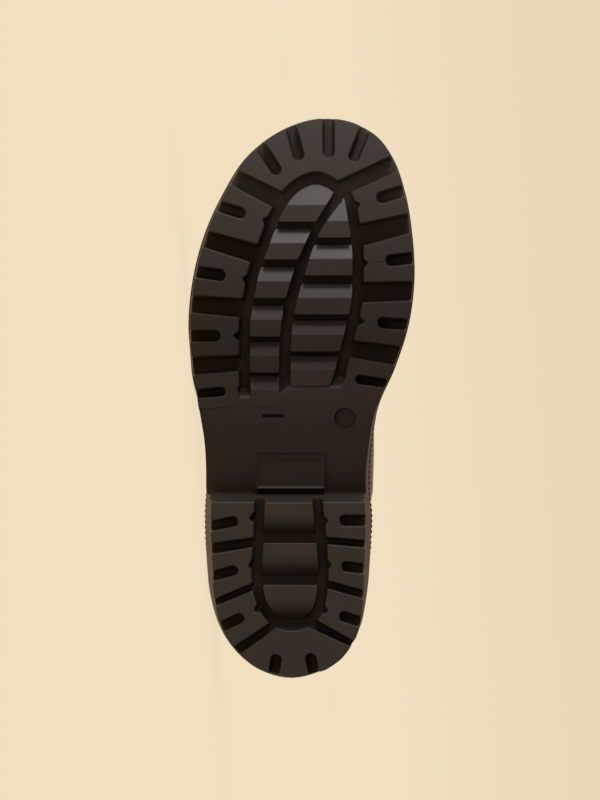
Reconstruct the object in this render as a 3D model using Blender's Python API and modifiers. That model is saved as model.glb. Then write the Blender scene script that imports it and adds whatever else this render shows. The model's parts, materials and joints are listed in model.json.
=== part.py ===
"""Right-foot rain boot on its outer side: lugged outsole, ribbed welt, hollow moulded upper and insole.

The boot is worked out standing up, in millimetres. X is the station, from the back of the heel to the toe.
Y runs from the lateral (outer) side, negative, to the medial (inner) side, positive. Z is up from the ground.
The pieces hang on one empty, which lays the boot on its lateral side: toe to -X, tread to -Y, medial side up.
"""

import math
from collections import namedtuple

import bmesh
import bpy
import numpy as np
from mathutils import Matrix, Vector
from mathutils.geometry import intersect_point_tri

MM = 0.001
LATERAL = "lateral"
MEDIAL = "medial"

# Clearance between neighbouring pieces.
GAP = 0.3

# Outsole: heights over the ground, and depths.
TREAD_DEPTH = 6.5
HEEL_TREAD_DEPTH = 6.0
BALL_HEIGHT = 13.0
HEEL_HEIGHT = 30.0
SEAT_END = 62.0
BALL_START = 167.5
TOE_SPRING = 12.0
SPRING_START = 205.0
BREAST_TREAD = 89.8
BREAST_TOP = 95.5
ARCH_HEIGHT = 13.0
WAIST_FRONT = 140.0
WAIST_FRONT_HEIGHT = 0.6
FOREFOOT_FLOOR_START = 153.0
ARCH_EASE = 1.6

# Outsole: plan steps from the welt's edge inwards.
HEEL_TAPER = 3.3
FOREFOOT_TAPER = 0.1
TAPER_START = 90.0
TAPER_END = 97.0
LUG_STEP = 0.9
WELT_OVERHANG = 0.7

# Tread blocks.
LUG_DRAFT = 1.2
BLOCK_ROOT = 1.6
NOTCH_HALF = 2.6
FOREFOOT_CHANNEL = 5.8
HEEL_CHANNEL = 5.4
DIAGONAL_HALF = 2.9
DIAGONAL_START = 163.0
DIAGONAL_LOW = -1.6
DIAGONAL_BEND = 0.0042
BAR_RISE = 4.2
BAR_FRONT_RUN = 7.4
BAR_BACK_RUN = 8.3
COLUMN_TIP_PLAY = 0.3
COLUMN_TIP_WIDTH = 0.4
MEDIAL_COLUMN_FRONT = 243.0
HEEL_BLOCK_FALL = 2.6
BREAST_REACH = 1.0

# Bare plate in the waist.
PLATE_BACK = 96.5
PLATE_FRONT = 113.5
PLATE_LATERAL = -16.0
PLATE_MEDIAL = 18.5
PLATE_BACK_HEIGHT = 9.2
PLATE_FRONT_HEIGHT = 4.9

# Welt, upper and insole.
WELT_WIDTH = 4.8
WELT_PLAY = 0.45
WELT_THICKNESS = 3.2
RIB_PITCH = 2.75
RIB_DEPTH = 0.7
WALL = 2.4
BAND_START = 10.55
BAND_LIP = 0.03
BAND_PROUD = 0.9
INSOLE_THICKNESS = 4.0
INSOLE_PLAY = 0.5
SWING_EASE = 1.5
WIDENING_START = 0.25
WIDENING_RUN = 0.5
WAIST_BULGE_CENTRE = 0.40
WAIST_BULGE_REACH = 0.16
LATERAL_BULGE_SHARE = 0.3

# Where the boot's weight acts, used only to choose the side that it lies on.
WEIGHT_POINT = (122.0, 1.0, 47.0)

# Edge of the sole at the welt, seen from below.
EdgeRow = namedtuple("EdgeRow", "station lateral medial")
SOLE_BACK = (-1.5, 0.8)
SOLE_FRONT = (282.0, 18.0)
SOLE_EDGE = (
    EdgeRow(4.0, -16.4, 18.0),
    EdgeRow(11.5, -25.0, 26.8),
    EdgeRow(25.0, -33.8, 35.5),
    EdgeRow(42.5, -39.2, 39.7),
    EdgeRow(68.5, -41.5, 41.6),
    EdgeRow(97.5, -41.4, 40.9),
    EdgeRow(120.5, -42.2, 41.2),
    EdgeRow(138.5, -45.2, 45.6),
    EdgeRow(157.5, -48.5, 53.6),
    EdgeRow(178.5, -49.8, 60.3),
    EdgeRow(202.5, -47.5, 63.3),
    EdgeRow(224.5, -41.7, 62.2),
    EdgeRow(245.5, -32.2, 58.2),
    EdgeRow(261.5, -21.4, 52.0),
    EdgeRow(272.5, -8.7, 44.2),
    EdgeRow(279.3, 4.5, 33.2),
)

# Inner ends of the forefoot lugs, round the two columns of bars.
FOREFOOT_BACK = (128.0, 0.0)
FOREFOOT_FRONT = (255.5, 15.5)
FOREFOOT_FIELD = (
    EdgeRow(138.0, -23.5, 22.5),
    EdgeRow(147.0, -24.5, 26.6),
    EdgeRow(162.0, -24.8, 31.0),
    EdgeRow(171.0, -24.8, 33.2),
    EdgeRow(182.0, -24.6, 36.0),
    EdgeRow(192.0, -22.8, 37.6),
    EdgeRow(209.8, -19.0, 38.0),
    EdgeRow(219.0, -15.3, 37.8),
    EdgeRow(229.0, -11.8, 36.2),
    EdgeRow(237.3, -8.0, 34.6),
    EdgeRow(245.5, -3.0, 31.5),
    EdgeRow(251.0, 2.6, 25.0),
)

# Inner ends of the heel lugs, round the three middle blocks.
HEEL_BACK = (25.4, 1.5)
HEEL_FRONT = (124.0, 0.0)
HEEL_FIELD = (
    EdgeRow(29.0, -9.6, 13.2),
    EdgeRow(34.0, -13.4, 17.2),
    EdgeRow(41.0, -16.6, 19.2),
    EdgeRow(49.0, -18.2, 20.2),
    EdgeRow(72.0, -17.5, 19.4),
    EdgeRow(90.0, -17.0, 17.5),
    EdgeRow(110.0, -16.5, 16.5),
)

# Grooves between the lugs, in the order in which they lie along the edge, with the stations of their
# toe-side and heel-side edges at the outer end and at the inner end.
Groove = namedtuple("Groove", "side front_out front_in back_out back_in")
FOREFOOT_GROOVES = (
    Groove(LATERAL, 136.3, 138.0, 136.3, 138.0),
    Groove(LATERAL, 163.0, 163.5, 153.3, 155.0),
    Groove(LATERAL, 193.5, 192.0, 184.5, 182.0),
    Groove(LATERAL, 225.8, 219.0, 217.5, 209.8),
    Groove(LATERAL, 256.5, 245.5, 249.0, 237.3),
    Groove(MEDIAL, 263.5, 251.0, 255.5, 245.0),
    Groove(MEDIAL, 234.5, 229.3, 224.5, 217.8),
    Groove(MEDIAL, 200.3, 200.0, 190.3, 189.5),
    Groove(MEDIAL, 168.0, 170.8, 158.0, 162.0),
    Groove(MEDIAL, 138.8, 146.0, 138.8, 146.0),
)
HEEL_GROOVES = (
    Groove(MEDIAL, BREAST_TREAD, BREAST_TREAD, BREAST_TREAD, BREAST_TREAD),
    Groove(MEDIAL, 71.0, 72.8, 67.0, 68.5),
    Groove(MEDIAL, 46.0, 51.0, 41.5, 46.5),
    Groove(MEDIAL, 20.5, 30.8, 17.5, 27.2),
    Groove(LATERAL, 17.5, 29.2, 13.6, 26.8),
    Groove(LATERAL, 41.5, 49.5, 37.8, 45.5),
    Groove(LATERAL, 69.5, 72.5, 63.8, 67.3),
    Groove(LATERAL, BREAST_TREAD, BREAST_TREAD, BREAST_TREAD, BREAST_TREAD),
)

# One slot in each lug, open at the sole's edge, by its closed end and its heading outwards from the toe
# direction, in degrees. The neck is the web of rubber left between the slot and the notch behind it.
Slot = namedtuple("Slot", "end_x end_y heading width neck")
FOREFOOT_SLOTS = (
    (Slot(145.3, -31.0, -95.0, 5.0, 5.5),),
    (Slot(173.0, -33.5, -90.0, 6.2, 5.5),),
    (Slot(203.0, -31.0, -81.5, 6.4, 7.9),),
    (Slot(233.8, -21.0, -73.0, 6.0, 8.4),),
    (
        Slot(254.0, -4.5, -33.0, 6.2, 0.0),
        Slot(261.0, 6.0, -15.0, 6.2, 0.0),
        Slot(262.3, 20.3, 0.0, 6.4, 0.0),
        Slot(260.5, 32.0, 22.0, 6.2, 0.0),
    ),
    (Slot(241.5, 44.0, 73.0, 6.2, 7.9),),
    (Slot(210.5, 48.5, 84.0, 6.2, 8.1),),
    (Slot(179.8, 44.5, 94.5, 6.0, 5.6),),
    (Slot(151.5, 33.5, 98.5, 5.0, 4.6),),
)
HEEL_SLOTS = (
    (Slot(80.7, 25.5, 90.0, 6.0, 5.1),),
    (Slot(58.0, 26.5, 97.0, 5.6, 4.3),),
    (Slot(33.5, 25.5, 108.0, 5.6, 5.0),),
    (
        Slot(14.5, 11.0, 170.0, 6.0, 0.0),
        Slot(14.0, -5.5, 188.5, 6.0, 0.0),
    ),
    (Slot(33.0, -21.8, -116.0, 5.6, 4.8),),
    (Slot(56.5, -24.8, -106.5, 5.4, 4.9),),
    (Slot(80.7, -24.8, -101.5, 5.6, 5.0),),
)

# Ridges of the wedge bars in the two forefoot columns, and the middle blocks of the heel.
LATERAL_RIDGES = (238.5, 219.5, 200.3, 181.0, 163.0, 146.0)
MEDIAL_RIDGES = (230.5, 211.5, 192.0, 173.5, 156.0)
HeelBlock = namedtuple("HeelBlock", "front crest back")
HEEL_BLOCKS = (
    HeelBlock(89.6, 79.5, 74.5),
    HeelBlock(69.0, 59.5, 54.5),
    HeelBlock(48.0, 38.5, 31.0),
)

# Sections of the upper, from the feather line up to the collar. Back and front give the two ends of a
# section, swing is how far its front lies to the medial side, follow is how much of the footbed's dip it
# keeps, and sole_share how far it keeps the sole's outline, narrowed by sole_scale. The rest of it is a
# rounded form with the given half widths, whose ends are round over the given shares of its length.
Section = namedtuple(
    "Section",
    "back_x back_z front_x front_z swing follow sole_share sole_scale "
    "heel_half fore_half round_back round_front bulge",
)
UPPER_SECTIONS = (
    Section(3.6, 30.3, 276.9, 24.9, 18.0, 1.00, 1.00, 1.000, 36.0, 50.0, 0.19, 0.30, 0.0),
    Section(3.5, 34.2, 277.0, 28.8, 18.0, 1.00, 1.00, 1.000, 36.0, 50.0, 0.19, 0.30, 0.0),
    Section(2.2, 45.0, 277.2, 38.0, 17.8, 0.85, 1.00, 1.000, 36.8, 50.0, 0.19, 0.32, 5.5),
    Section(1.6, 56.0, 273.6, 48.5, 17.2, 0.55, 0.95, 0.985, 36.5, 49.5, 0.19, 0.36, 7.0),
    Section(2.4, 67.0, 263.5, 57.5, 16.0, 0.30, 0.75, 0.940, 35.8, 48.0, 0.20, 0.43, 5.5),
    Section(4.2, 78.0, 245.0, 65.0, 14.0, 0.12, 0.35, 0.850, 35.0, 45.0, 0.21, 0.50, 3.0),
    Section(6.4, 89.0, 220.0, 73.0, 11.0, 0.00, 0.08, 0.760, 34.2, 41.0, 0.24, 0.54, 1.0),
    Section(8.4, 101.0, 192.0, 85.0, 8.0, 0.00, 0.00, 0.700, 34.0, 39.0, 0.29, 0.58, 0.0),
    Section(9.8, 115.0, 166.0, 102.0, 5.5, 0.00, 0.00, 0.700, 35.0, 38.0, 0.35, 0.58, 0.0),
    Section(10.0, 132.0, 144.5, 124.0, 3.5, 0.00, 0.00, 0.700, 37.0, 38.5, 0.42, 0.56, 0.0),
    Section(9.0, 151.0, 130.0, 148.0, 2.0, 0.00, 0.00, 0.700, 39.2, 39.8, 0.46, 0.53, 0.0),
    Section(7.5, 172.0, 124.0, 172.0, 1.5, 0.00, 0.00, 0.700, 41.0, 41.0, 0.50, 0.50, 0.0),
)
COLLAR = len(UPPER_SECTIONS) - 1

# How finely curves are cut into flats.
LOOP_STEPS = 48
BASE_STATIONS = 32
WAIST_STATIONS = 8
RAMP_STATIONS = 5
UPPER_STATIONS = 24
UPPER_LOOPS_PER_SECTION = 2
INSOLE_STATIONS = 24
EDGE_SPACING = 6.0
SLOT_ARC_STEPS = 4
SMOOTH_ANGLE = 40.0
MERGE_DISTANCE = 1e-6
SLIVER = 1e-7

# Two sides of a polygon turn a corner where the sine of the angle between them passes this.
CORNER_SINE = 0.2

# A side is one to lie on where its outward normal is at least this much sideways.
SIDEWAYS = 0.9


def ease(value):
    """Smooth step from 0 to 1."""
    share = np.clip(value, 0.0, 1.0)
    return share * share * (3.0 - 2.0 * share)


def toe_spring(x):
    """Lift of the forefoot off the ground."""
    run = np.maximum(0.0, x - SPRING_START) / (SOLE_FRONT[0] - SPRING_START)
    return TOE_SPRING * run * run


def footbed(x):
    """Height of the top of the outsole."""
    drop = ease((BALL_START - x) / (BALL_START - SEAT_END))
    return BALL_HEIGHT + (HEEL_HEIGHT - BALL_HEIGHT) * drop + toe_spring(x)


def breast_station(z):
    """Station of the sloped front of the heel at a height."""
    return BREAST_TREAD + (BREAST_TOP - BREAST_TREAD) * z / ARCH_HEIGHT


def sole_floor(x):
    """Height of the outsole's underside between the tread blocks: heel, arched waist and forefoot."""
    if x <= breast_station(HEEL_TREAD_DEPTH):
        return HEEL_TREAD_DEPTH
    if x <= BREAST_TOP:
        return ARCH_HEIGHT * (x - BREAST_TREAD) / (BREAST_TOP - BREAST_TREAD)
    if x <= WAIST_FRONT:
        share = (WAIST_FRONT - x) / (WAIST_FRONT - BREAST_TOP)
        return WAIST_FRONT_HEIGHT + (ARCH_HEIGHT - WAIST_FRONT_HEIGHT) * share**ARCH_EASE
    share = ease((x - WAIST_FRONT) / (FOREFOOT_FLOOR_START - WAIST_FRONT))
    return WAIST_FRONT_HEIGHT + (TREAD_DEPTH - WAIST_FRONT_HEIGHT) * share + toe_spring(x)


def tread_taper(x):
    """How far the tread's edge lies inside the welt's edge: the heel block narrows downwards."""
    return HEEL_TAPER + (FOREFOOT_TAPER - HEEL_TAPER) * ease((x - TAPER_START) / (TAPER_END - TAPER_START))


class PlanLoop:
    """Closed plan curve from its back point along the lateral side to its front point, and back."""

    def __init__(self, points):
        self.points = np.roll(points, -points[:, 0].argmin(), axis=0)
        self.front = int(self.points[:, 0].argmax())
        self.back_x = self.points[0, 0]
        self.front_x = self.points[self.front, 0]
        lateral = self.points[: self.front + 1]
        medial = np.vstack([self.points[self.front :], self.points[:1]])[::-1]
        self.sides = {LATERAL: lateral, MEDIAL: medial}

    @classmethod
    def through(cls, back, rows, front):
        """Smooth loop through the rows of a table and the two end points."""
        lateral = [(row.station, row.lateral) for row in rows]
        medial = [(row.station, row.medial) for row in reversed(rows)]
        ring = np.array([back, *lateral, front, *medial])
        ahead = np.roll(ring, -1, axis=0) - ring
        length = np.linalg.norm(ahead, axis=1, keepdims=True)
        slope = ahead / length
        before = np.roll(length, 1, axis=0)
        tangent = (np.roll(slope, 1, axis=0) * length + slope * before) / (length + before)
        u = np.linspace(0.0, 1.0, LOOP_STEPS, endpoint=False)[None, :, None]
        start, end = ring[:, None], np.roll(ring, -1, axis=0)[:, None]
        leave = (tangent * length)[:, None]
        arrive = (np.roll(tangent, -1, axis=0) * length)[:, None]
        curve = (
            (2 * u**3 - 3 * u**2 + 1) * start
            + (u**3 - 2 * u**2 + u) * leave
            + (3 * u**2 - 2 * u**3) * end
            + (u**3 - u**2) * arrive
        )
        return cls(curve.reshape(-1, 2))

    def inset(self, depth):
        """The loop moved inwards by a depth, which may be a function of the station."""
        along = np.roll(self.points, -1, axis=0) - np.roll(self.points, 1, axis=0)
        along /= np.linalg.norm(along, axis=1, keepdims=True)
        inwards = np.column_stack([-along[:, 1], along[:, 0]])
        amount = depth(self.points[:, 0]) if callable(depth) else np.full(len(self.points), depth)
        return PlanLoop(self.points + inwards * amount[:, None])

    def y(self, side, x):
        """Offset of one side at a station."""
        edge = self.sides[side]
        return float(np.interp(x, np.maximum.accumulate(edge[:, 0]), edge[:, 1]))

    def index(self, side, x):
        """Place along the loop of a station on one side."""
        if side == LATERAL:
            return int(np.argmin(abs(self.points[: self.front + 1, 0] - x)))
        return self.front + int(np.argmin(abs(self.points[self.front :, 0] - x)))

    def run(self, start, stop):
        """Points from one place along the loop to another."""
        count = len(self.points)
        return self.points[np.arange(start, stop + (count if stop < start else 0) + 1) % count]

    def station(self, share):
        """Station at a share of the loop's length."""
        return self.back_x + share * (self.front_x - self.back_x)


def thinned(chain, spacing):
    """A chain of points with about the given spacing, keeping both ends."""
    length = np.linalg.norm(np.diff(chain, axis=0), axis=1).sum()
    count = max(2, int(round(length / spacing)) + 1)
    return chain[np.linspace(0, len(chain) - 1, count).round().astype(int)]


def notched(chain, origin, axis, half, outwards, filler):
    """A chain split where it crosses a strip along an axis: the run before it, the filler, the run after."""
    offset = chain - origin
    across = offset @ np.array([-axis[1], axis[0]])
    inside = (abs(across) < half) & (offset @ axis * outwards > 0.0)
    places = np.flatnonzero(inside)
    mouth = []
    for place, neighbour in ((places[0], places[0] - 1), (places[-1], places[-1] + 1)):
        share = (half - abs(across[place])) / (abs(across[neighbour]) - abs(across[place]))
        mouth.append(chain[place] + share * (chain[neighbour] - chain[place]))
    return (
        np.vstack([chain[: places[0]], mouth[0]]),
        np.array(filler),
        np.vstack([mouth[1], chain[places[-1] + 1 :]]),
    )


def groove_edge(groove, lug_follows):
    """Outer and inner station of a groove's edge, at the lug that follows it or the lug that leads to it."""
    if lug_follows == (groove.side == LATERAL):
        return groove.front_out, groove.front_in
    return groove.back_out, groove.back_in


def lug_outline(outer, inner, leaving, arriving, slots):
    """Plan polygon of the lug between two grooves, with a mark on each point that is on the sole's edge."""
    start_out, start_in = groove_edge(leaving, True)
    stop_out, stop_in = groove_edge(arriving, False)
    edge = outer.run(outer.index(leaving.side, start_out), outer.index(arriving.side, stop_out))
    back = inner.run(inner.index(leaving.side, start_in), inner.index(arriving.side, stop_in))[::-1]
    points, on_edge, inner_parts = [], [], [back]
    for slot in slots:
        axis = np.array([math.cos(math.radians(slot.heading)), math.sin(math.radians(slot.heading))])
        normal = np.array([-axis[1], axis[0]])
        tip = np.array([slot.end_x, slot.end_y])
        half = slot.width / 2
        centre = tip + axis * half
        turns = np.linspace(0.0, math.pi, SLOT_ARC_STEPS + 1)
        arc = [centre - half * (normal * math.cos(turn) + axis * math.sin(turn)) for turn in turns]
        before, slot_end, edge = notched(edge, tip, axis, half, 1.0, arc)
        before = thinned(before, EDGE_SPACING)
        points += [*before, *slot_end]
        on_edge += [True] * len(before) + [False] * len(slot_end)
        if slot.neck:
            inner_parts = notched(back, tip, axis, NOTCH_HALF, -1.0, [tip - axis * slot.neck])
    edge = thinned(edge, EDGE_SPACING)
    inner_points = np.vstack([run if len(run) == 1 else thinned(run, EDGE_SPACING) for run in inner_parts])
    points += [*edge, *inner_points]
    on_edge += [True] * len(edge) + [False] * len(inner_points)
    return np.array(points), np.array(on_edge)


def grown(points, on_edge, draft):
    """The polygon with every side moved outwards by the draft, apart from those on the sole's edge."""
    ahead = np.roll(points, -1, axis=0) - points
    ahead /= np.linalg.norm(ahead, axis=1, keepdims=True)
    outwards = np.column_stack([ahead[:, 1], -ahead[:, 0]])
    shift = np.where(on_edge & np.roll(on_edge, -1), 0.0, draft)
    moved = []
    for i, point in enumerate(points):
        sides = np.array([outwards[i - 1], outwards[i]])
        wanted = np.array([shift[i - 1], shift[i]])
        if abs(np.linalg.det(sides)) < CORNER_SINE:
            moved.append(point + sides.mean(axis=0) * wanted.mean())
        else:
            moved.append(point + np.linalg.solve(sides, wanted))
    return np.array(moved)


def add_loft(mesh, rings, closed=True):
    """Skin rings of points, in millimetres, into a mesh; a closed skin has both ends capped."""
    rows = [[mesh.verts.new(Vector(point) * MM) for point in ring] for ring in rings]
    for low, high in zip(rows, rows[1:]):
        for i in range(len(low)):
            mesh.faces.new((low[i - 1], low[i], high[i], high[i - 1]))
    if closed:
        mesh.faces.new(rows[0])
        mesh.faces.new(rows[-1])


def principled(name, colour, roughness):
    """Material of one rubber or cloth."""
    material = bpy.data.materials.new(name)
    material.use_nodes = True
    shader = material.node_tree.nodes["Principled BSDF"]
    shader.inputs["Base Color"].default_value = (*colour, 1.0)
    shader.inputs["Roughness"].default_value = roughness
    return material


def finished(mesh, name, collection, material=None, smooth_angle=None):
    """Object made from a mesh, with its doubles merged and its faces turned outwards."""
    bmesh.ops.remove_doubles(mesh, verts=mesh.verts, dist=MERGE_DISTANCE)
    bmesh.ops.dissolve_degenerate(mesh, edges=mesh.edges, dist=SLIVER)
    bmesh.ops.recalc_face_normals(mesh, faces=mesh.faces)
    data = bpy.data.meshes.new(name)
    mesh.to_mesh(data)
    mesh.free()
    if smooth_angle is not None:
        data.shade_smooth()
        data.set_sharp_from_angle(angle=math.radians(smooth_angle))
    piece = bpy.data.objects.new(name, data)
    if material is not None:
        data.materials.append(material)
    collection.objects.link(piece)
    return piece


def block_rings(stations, low, high, lateral, medial):
    """Rings of a block that lies across the sole, one at each station."""
    return [
        [
            (x, lateral(x), low(x)),
            (x, medial(x), low(x)),
            (x, medial(x), high(x)),
            (x, lateral(x), high(x)),
        ]
        for x in stations
    ]


def add_lugs(mesh, outer, inner, grooves, slot_sets, depth, sloped_front=False):
    """Lugs between successive grooves of one field, each a drafted block rooted in the sole."""
    for leaving, arriving, slots in zip(grooves, grooves[1:], slot_sets):
        points, on_edge = lug_outline(outer, inner, leaving, arriving, slots)
        root = grown(points, on_edge, LUG_DRAFT)
        height = depth + BLOCK_ROOT
        if sloped_front:
            root[points[:, 0] > BREAST_TREAD - BREAST_REACH, 0] = breast_station(height)
        tread_ring = [(x, y, toe_spring(x)) for x, y in points]
        root_ring = [(x, y, height + toe_spring(x)) for x, y in root]
        add_loft(mesh, [tread_ring, root_ring])


def add_bars(mesh, ridges, lateral, medial, front_limit):
    """One column of wedge bars: each rises from its toe side to a ridge and is flat behind it."""

    def root(x):
        return TREAD_DEPTH + BLOCK_ROOT + toe_spring(x)

    for ridge in ridges:
        front = front_limit if ridge == ridges[0] else ridge + BAR_FRONT_RUN
        back = ridge - BAR_BACK_RUN

        def wedge(x, front=front, ridge=ridge):
            return BAR_RISE * max(0.0, x - ridge) / (front - ridge) + toe_spring(x)

        stations = (back, (back + ridge) / 2, ridge, ridge + (front - ridge) / 2, front)
        add_loft(mesh, block_rings(stations, wedge, root, lateral, medial))


def add_heel_blocks(mesh, field):
    """Middle blocks of the heel, flat in front and falling away behind their crest."""

    def root(x):
        return HEEL_TREAD_DEPTH + BLOCK_ROOT

    def lateral(x):
        return field.y(LATERAL, x)

    def medial(x):
        return field.y(MEDIAL, x)

    for block in HEEL_BLOCKS:

        def fall(x, block=block):
            return HEEL_BLOCK_FALL * max(0.0, block.crest - x) / (block.crest - block.back)

        middle = (block.back + block.crest) / 2
        stations = (block.back, (block.back + middle) / 2, middle, block.crest, block.front)
        add_loft(mesh, block_rings(stations, fall, root, lateral, medial))


def add_plate(mesh):
    """Bare plate that stands out of the waist towards the heel."""

    def face(x):
        share = (PLATE_FRONT - x) / (PLATE_FRONT - PLATE_BACK)
        return PLATE_FRONT_HEIGHT + (PLATE_BACK_HEIGHT - PLATE_FRONT_HEIGHT) * share

    def root(x):
        return sole_floor(x) + BLOCK_ROOT

    rings = block_rings(
        (PLATE_BACK, PLATE_FRONT), face, root, lambda x: PLATE_LATERAL, lambda x: PLATE_MEDIAL
    )
    add_loft(mesh, rings)


def tread_blocks(edge, collection):
    """Every lug, bar and block of the tread, and the plate, as the bodies that the sole is joined with."""
    tread = edge.inset(tread_taper)
    forefoot = PlanLoop.through(FOREFOOT_BACK, FOREFOOT_FIELD, FOREFOOT_FRONT)
    heel = PlanLoop.through(HEEL_BACK, HEEL_FIELD, HEEL_FRONT)
    columns = forefoot.inset(FOREFOOT_CHANNEL)
    mesh = bmesh.new()
    add_lugs(mesh, tread, forefoot, FOREFOOT_GROOVES, FOREFOOT_SLOTS, TREAD_DEPTH)
    add_lugs(mesh, tread, heel, HEEL_GROOVES, HEEL_SLOTS, HEEL_TREAD_DEPTH, sloped_front=True)

    def diagonal(x):
        return DIAGONAL_LOW + DIAGONAL_BEND * max(0.0, x - DIAGONAL_START) ** 2

    def diagonal_half(x):
        slope = 2 * DIAGONAL_BEND * max(0.0, x - DIAGONAL_START)
        return DIAGONAL_HALF * math.hypot(1.0, slope)

    def column_edge(x):
        return columns.y(LATERAL, x)

    def lateral_column_end(x):
        return min(columns.y(MEDIAL, x), diagonal(x) - diagonal_half(x))

    def medial_column_start(x):
        return min(diagonal(x) + diagonal_half(x), columns.y(MEDIAL, x) - COLUMN_TIP_WIDTH)

    def medial_column_end(x):
        return columns.y(MEDIAL, x)

    add_bars(mesh, LATERAL_RIDGES, column_edge, lateral_column_end, columns.front_x - COLUMN_TIP_PLAY)
    add_bars(mesh, MEDIAL_RIDGES, medial_column_start, medial_column_end, MEDIAL_COLUMN_FRONT)
    add_heel_blocks(mesh, heel.inset(HEEL_CHANNEL))
    add_plate(mesh)
    blocks = finished(mesh, "tread_blocks", collection)
    blocks.hide_render = True
    blocks.display_type = "WIRE"
    return blocks


def build_outsole(edge, parts, cutters, material):
    """Unit sole with forefoot, arched waist, heel and tread in one body."""
    under = edge.inset(lambda x: tread_taper(x) + LUG_STEP)
    top = edge.inset(WELT_OVERHANG)
    even = (1.0 - np.cos(np.linspace(0.0, math.pi, BASE_STATIONS))) / 2
    waist = np.linspace(BREAST_TOP, WAIST_FRONT, WAIST_STATIONS)
    ramp = np.linspace(WAIST_FRONT, FOREFOOT_FLOOR_START, RAMP_STATIONS)[1:]
    corners = np.concatenate([[breast_station(HEEL_TREAD_DEPTH)], waist, ramp])
    share = np.sort(np.concatenate([even, (corners - under.back_x) / (under.front_x - under.back_x)]))
    rings = []
    for s in share:
        low, high = under.station(s), top.station(s)
        rings.append(
            [
                (low, under.y(LATERAL, low), sole_floor(low)),
                (low, under.y(MEDIAL, low), sole_floor(low)),
                (high, top.y(MEDIAL, high), footbed(high)),
                (high, top.y(LATERAL, high), footbed(high)),
            ]
        )
    mesh = bmesh.new()
    add_loft(mesh, rings)
    outsole = finished(mesh, "outsole", parts, material)
    union = outsole.modifiers.new("tread", "BOOLEAN")
    union.operation = "UNION"
    union.solver = "EXACT"
    union.object = tread_blocks(edge, cutters)
    return outsole


def build_welt(edge, parts, material):
    """Ribbed strip round the upper, on the edge of the outsole."""
    ahead = np.linalg.norm(np.roll(edge.points, -1, axis=0) - edge.points, axis=1)
    travel = np.concatenate([[0.0], np.cumsum(ahead)])
    count = int(round(travel[-1] / RIB_PITCH))
    valleys = edge.inset(RIB_DEPTH)
    inner = edge.inset(WELT_WIDTH)

    def at(loop_points, distance):
        closed = np.vstack([loop_points, loop_points[:1]])
        return [float(np.interp(distance, travel, closed[:, axis])) for axis in (0, 1)]

    mesh = bmesh.new()
    levels = []
    for height in (GAP, GAP + WELT_THICKNESS):
        outer_row, inner_row = [], []
        for tooth in range(count):
            valley = at(valleys.points, tooth * travel[-1] / count)
            peak = at(edge.points, (tooth + 0.5) * travel[-1] / count)
            root = at(inner.points, tooth * travel[-1] / count)
            for row, (x, y) in ((outer_row, valley), (outer_row, peak), (inner_row, root)):
                row.append(mesh.verts.new(Vector((x, y, footbed(x) + height)) * MM))
        levels.append((outer_row, inner_row))
    (low_out, low_in), (high_out, high_in) = levels
    for tooth in range(count):
        following = (tooth + 1) % count
        first, peak, second = 2 * tooth, 2 * tooth + 1, 2 * following
        for outer_row, inner_row in levels:
            rib = (outer_row[first], outer_row[peak], outer_row[second])
            mesh.faces.new((inner_row[tooth], *rib, inner_row[following]))
        for a, b in ((first, peak), (peak, second)):
            mesh.faces.new((low_out[a], low_out[b], high_out[b], high_out[a]))
        mesh.faces.new((low_in[tooth], low_in[following], high_in[following], high_in[tooth]))
    return finished(mesh, "welt", parts, material)


def section_value(name, t):
    """One column of the upper's table at a place between its rows, on a smooth curve through them."""
    values = [getattr(row, name) for row in UPPER_SECTIONS]
    i = min(int(t), COLLAR - 1)
    u = t - i
    before, start, end, after = (values[min(max(i + step, 0), COLLAR)] for step in (-1, 0, 1, 2))
    leave, arrive = (end - before) / 2, (after - start) / 2
    return (
        (2 * u**3 - 3 * u**2 + 1) * start
        + (u**3 - 2 * u**2 + u) * leave
        + (3 * u**2 - 2 * u**3) * end
        + (u**3 - u**2) * arrive
    )


def rounded(share, round_back, round_front):
    """Width of a form with elliptic ends, from 0 at its ends to 1."""
    if share < round_back:
        return math.sqrt(max(0.0, 1.0 - (1.0 - share / round_back) ** 2))
    if share > 1.0 - round_front:
        return math.sqrt(max(0.0, 1.0 - ((share - 1.0 + round_front) / round_front) ** 2))
    return 1.0


def upper_loop(feather, t, proud=0.0):
    """Closed ring of points round the upper's outside at one height."""
    row = Section(*(section_value(name, t) for name in Section._fields))
    back_x, front_x = row.back_x - proud, row.front_x + proud
    sides = {LATERAL: [], MEDIAL: []}
    for step in range(UPPER_STATIONS + 1):
        share = (1.0 - math.cos(math.pi * step / UPPER_STATIONS)) / 2
        x = back_x + share * (front_x - back_x)
        chord = row.back_z + share * (row.front_z - row.back_z)
        level = footbed(row.back_x) + share * (footbed(row.front_x) - footbed(row.back_x))
        z = chord + row.follow * (footbed(x) - level)
        centre = SOLE_BACK[1] + (row.swing - SOLE_BACK[1]) * share**SWING_EASE
        widening = ease((share - WIDENING_START) / WIDENING_RUN)
        half = row.heel_half + (row.fore_half - row.heel_half) * widening + proud
        half *= rounded(share, row.round_back, row.round_front)
        bump = row.bulge * math.exp(-(((share - WAIST_BULGE_CENTRE) / WAIST_BULGE_REACH) ** 2))
        bump *= math.sin(math.pi * share)
        for side, sign, part in ((LATERAL, -1.0, LATERAL_BULGE_SHARE), (MEDIAL, 1.0, 1.0)):
            sole_y = feather.y(side, feather.station(share)) * row.sole_scale
            y = row.sole_share * sole_y + (1.0 - row.sole_share) * (centre + sign * half)
            sides[side].append((x, y + sign * part * bump, z))
    return sides[LATERAL] + sides[MEDIAL][-2:0:-1]


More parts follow.
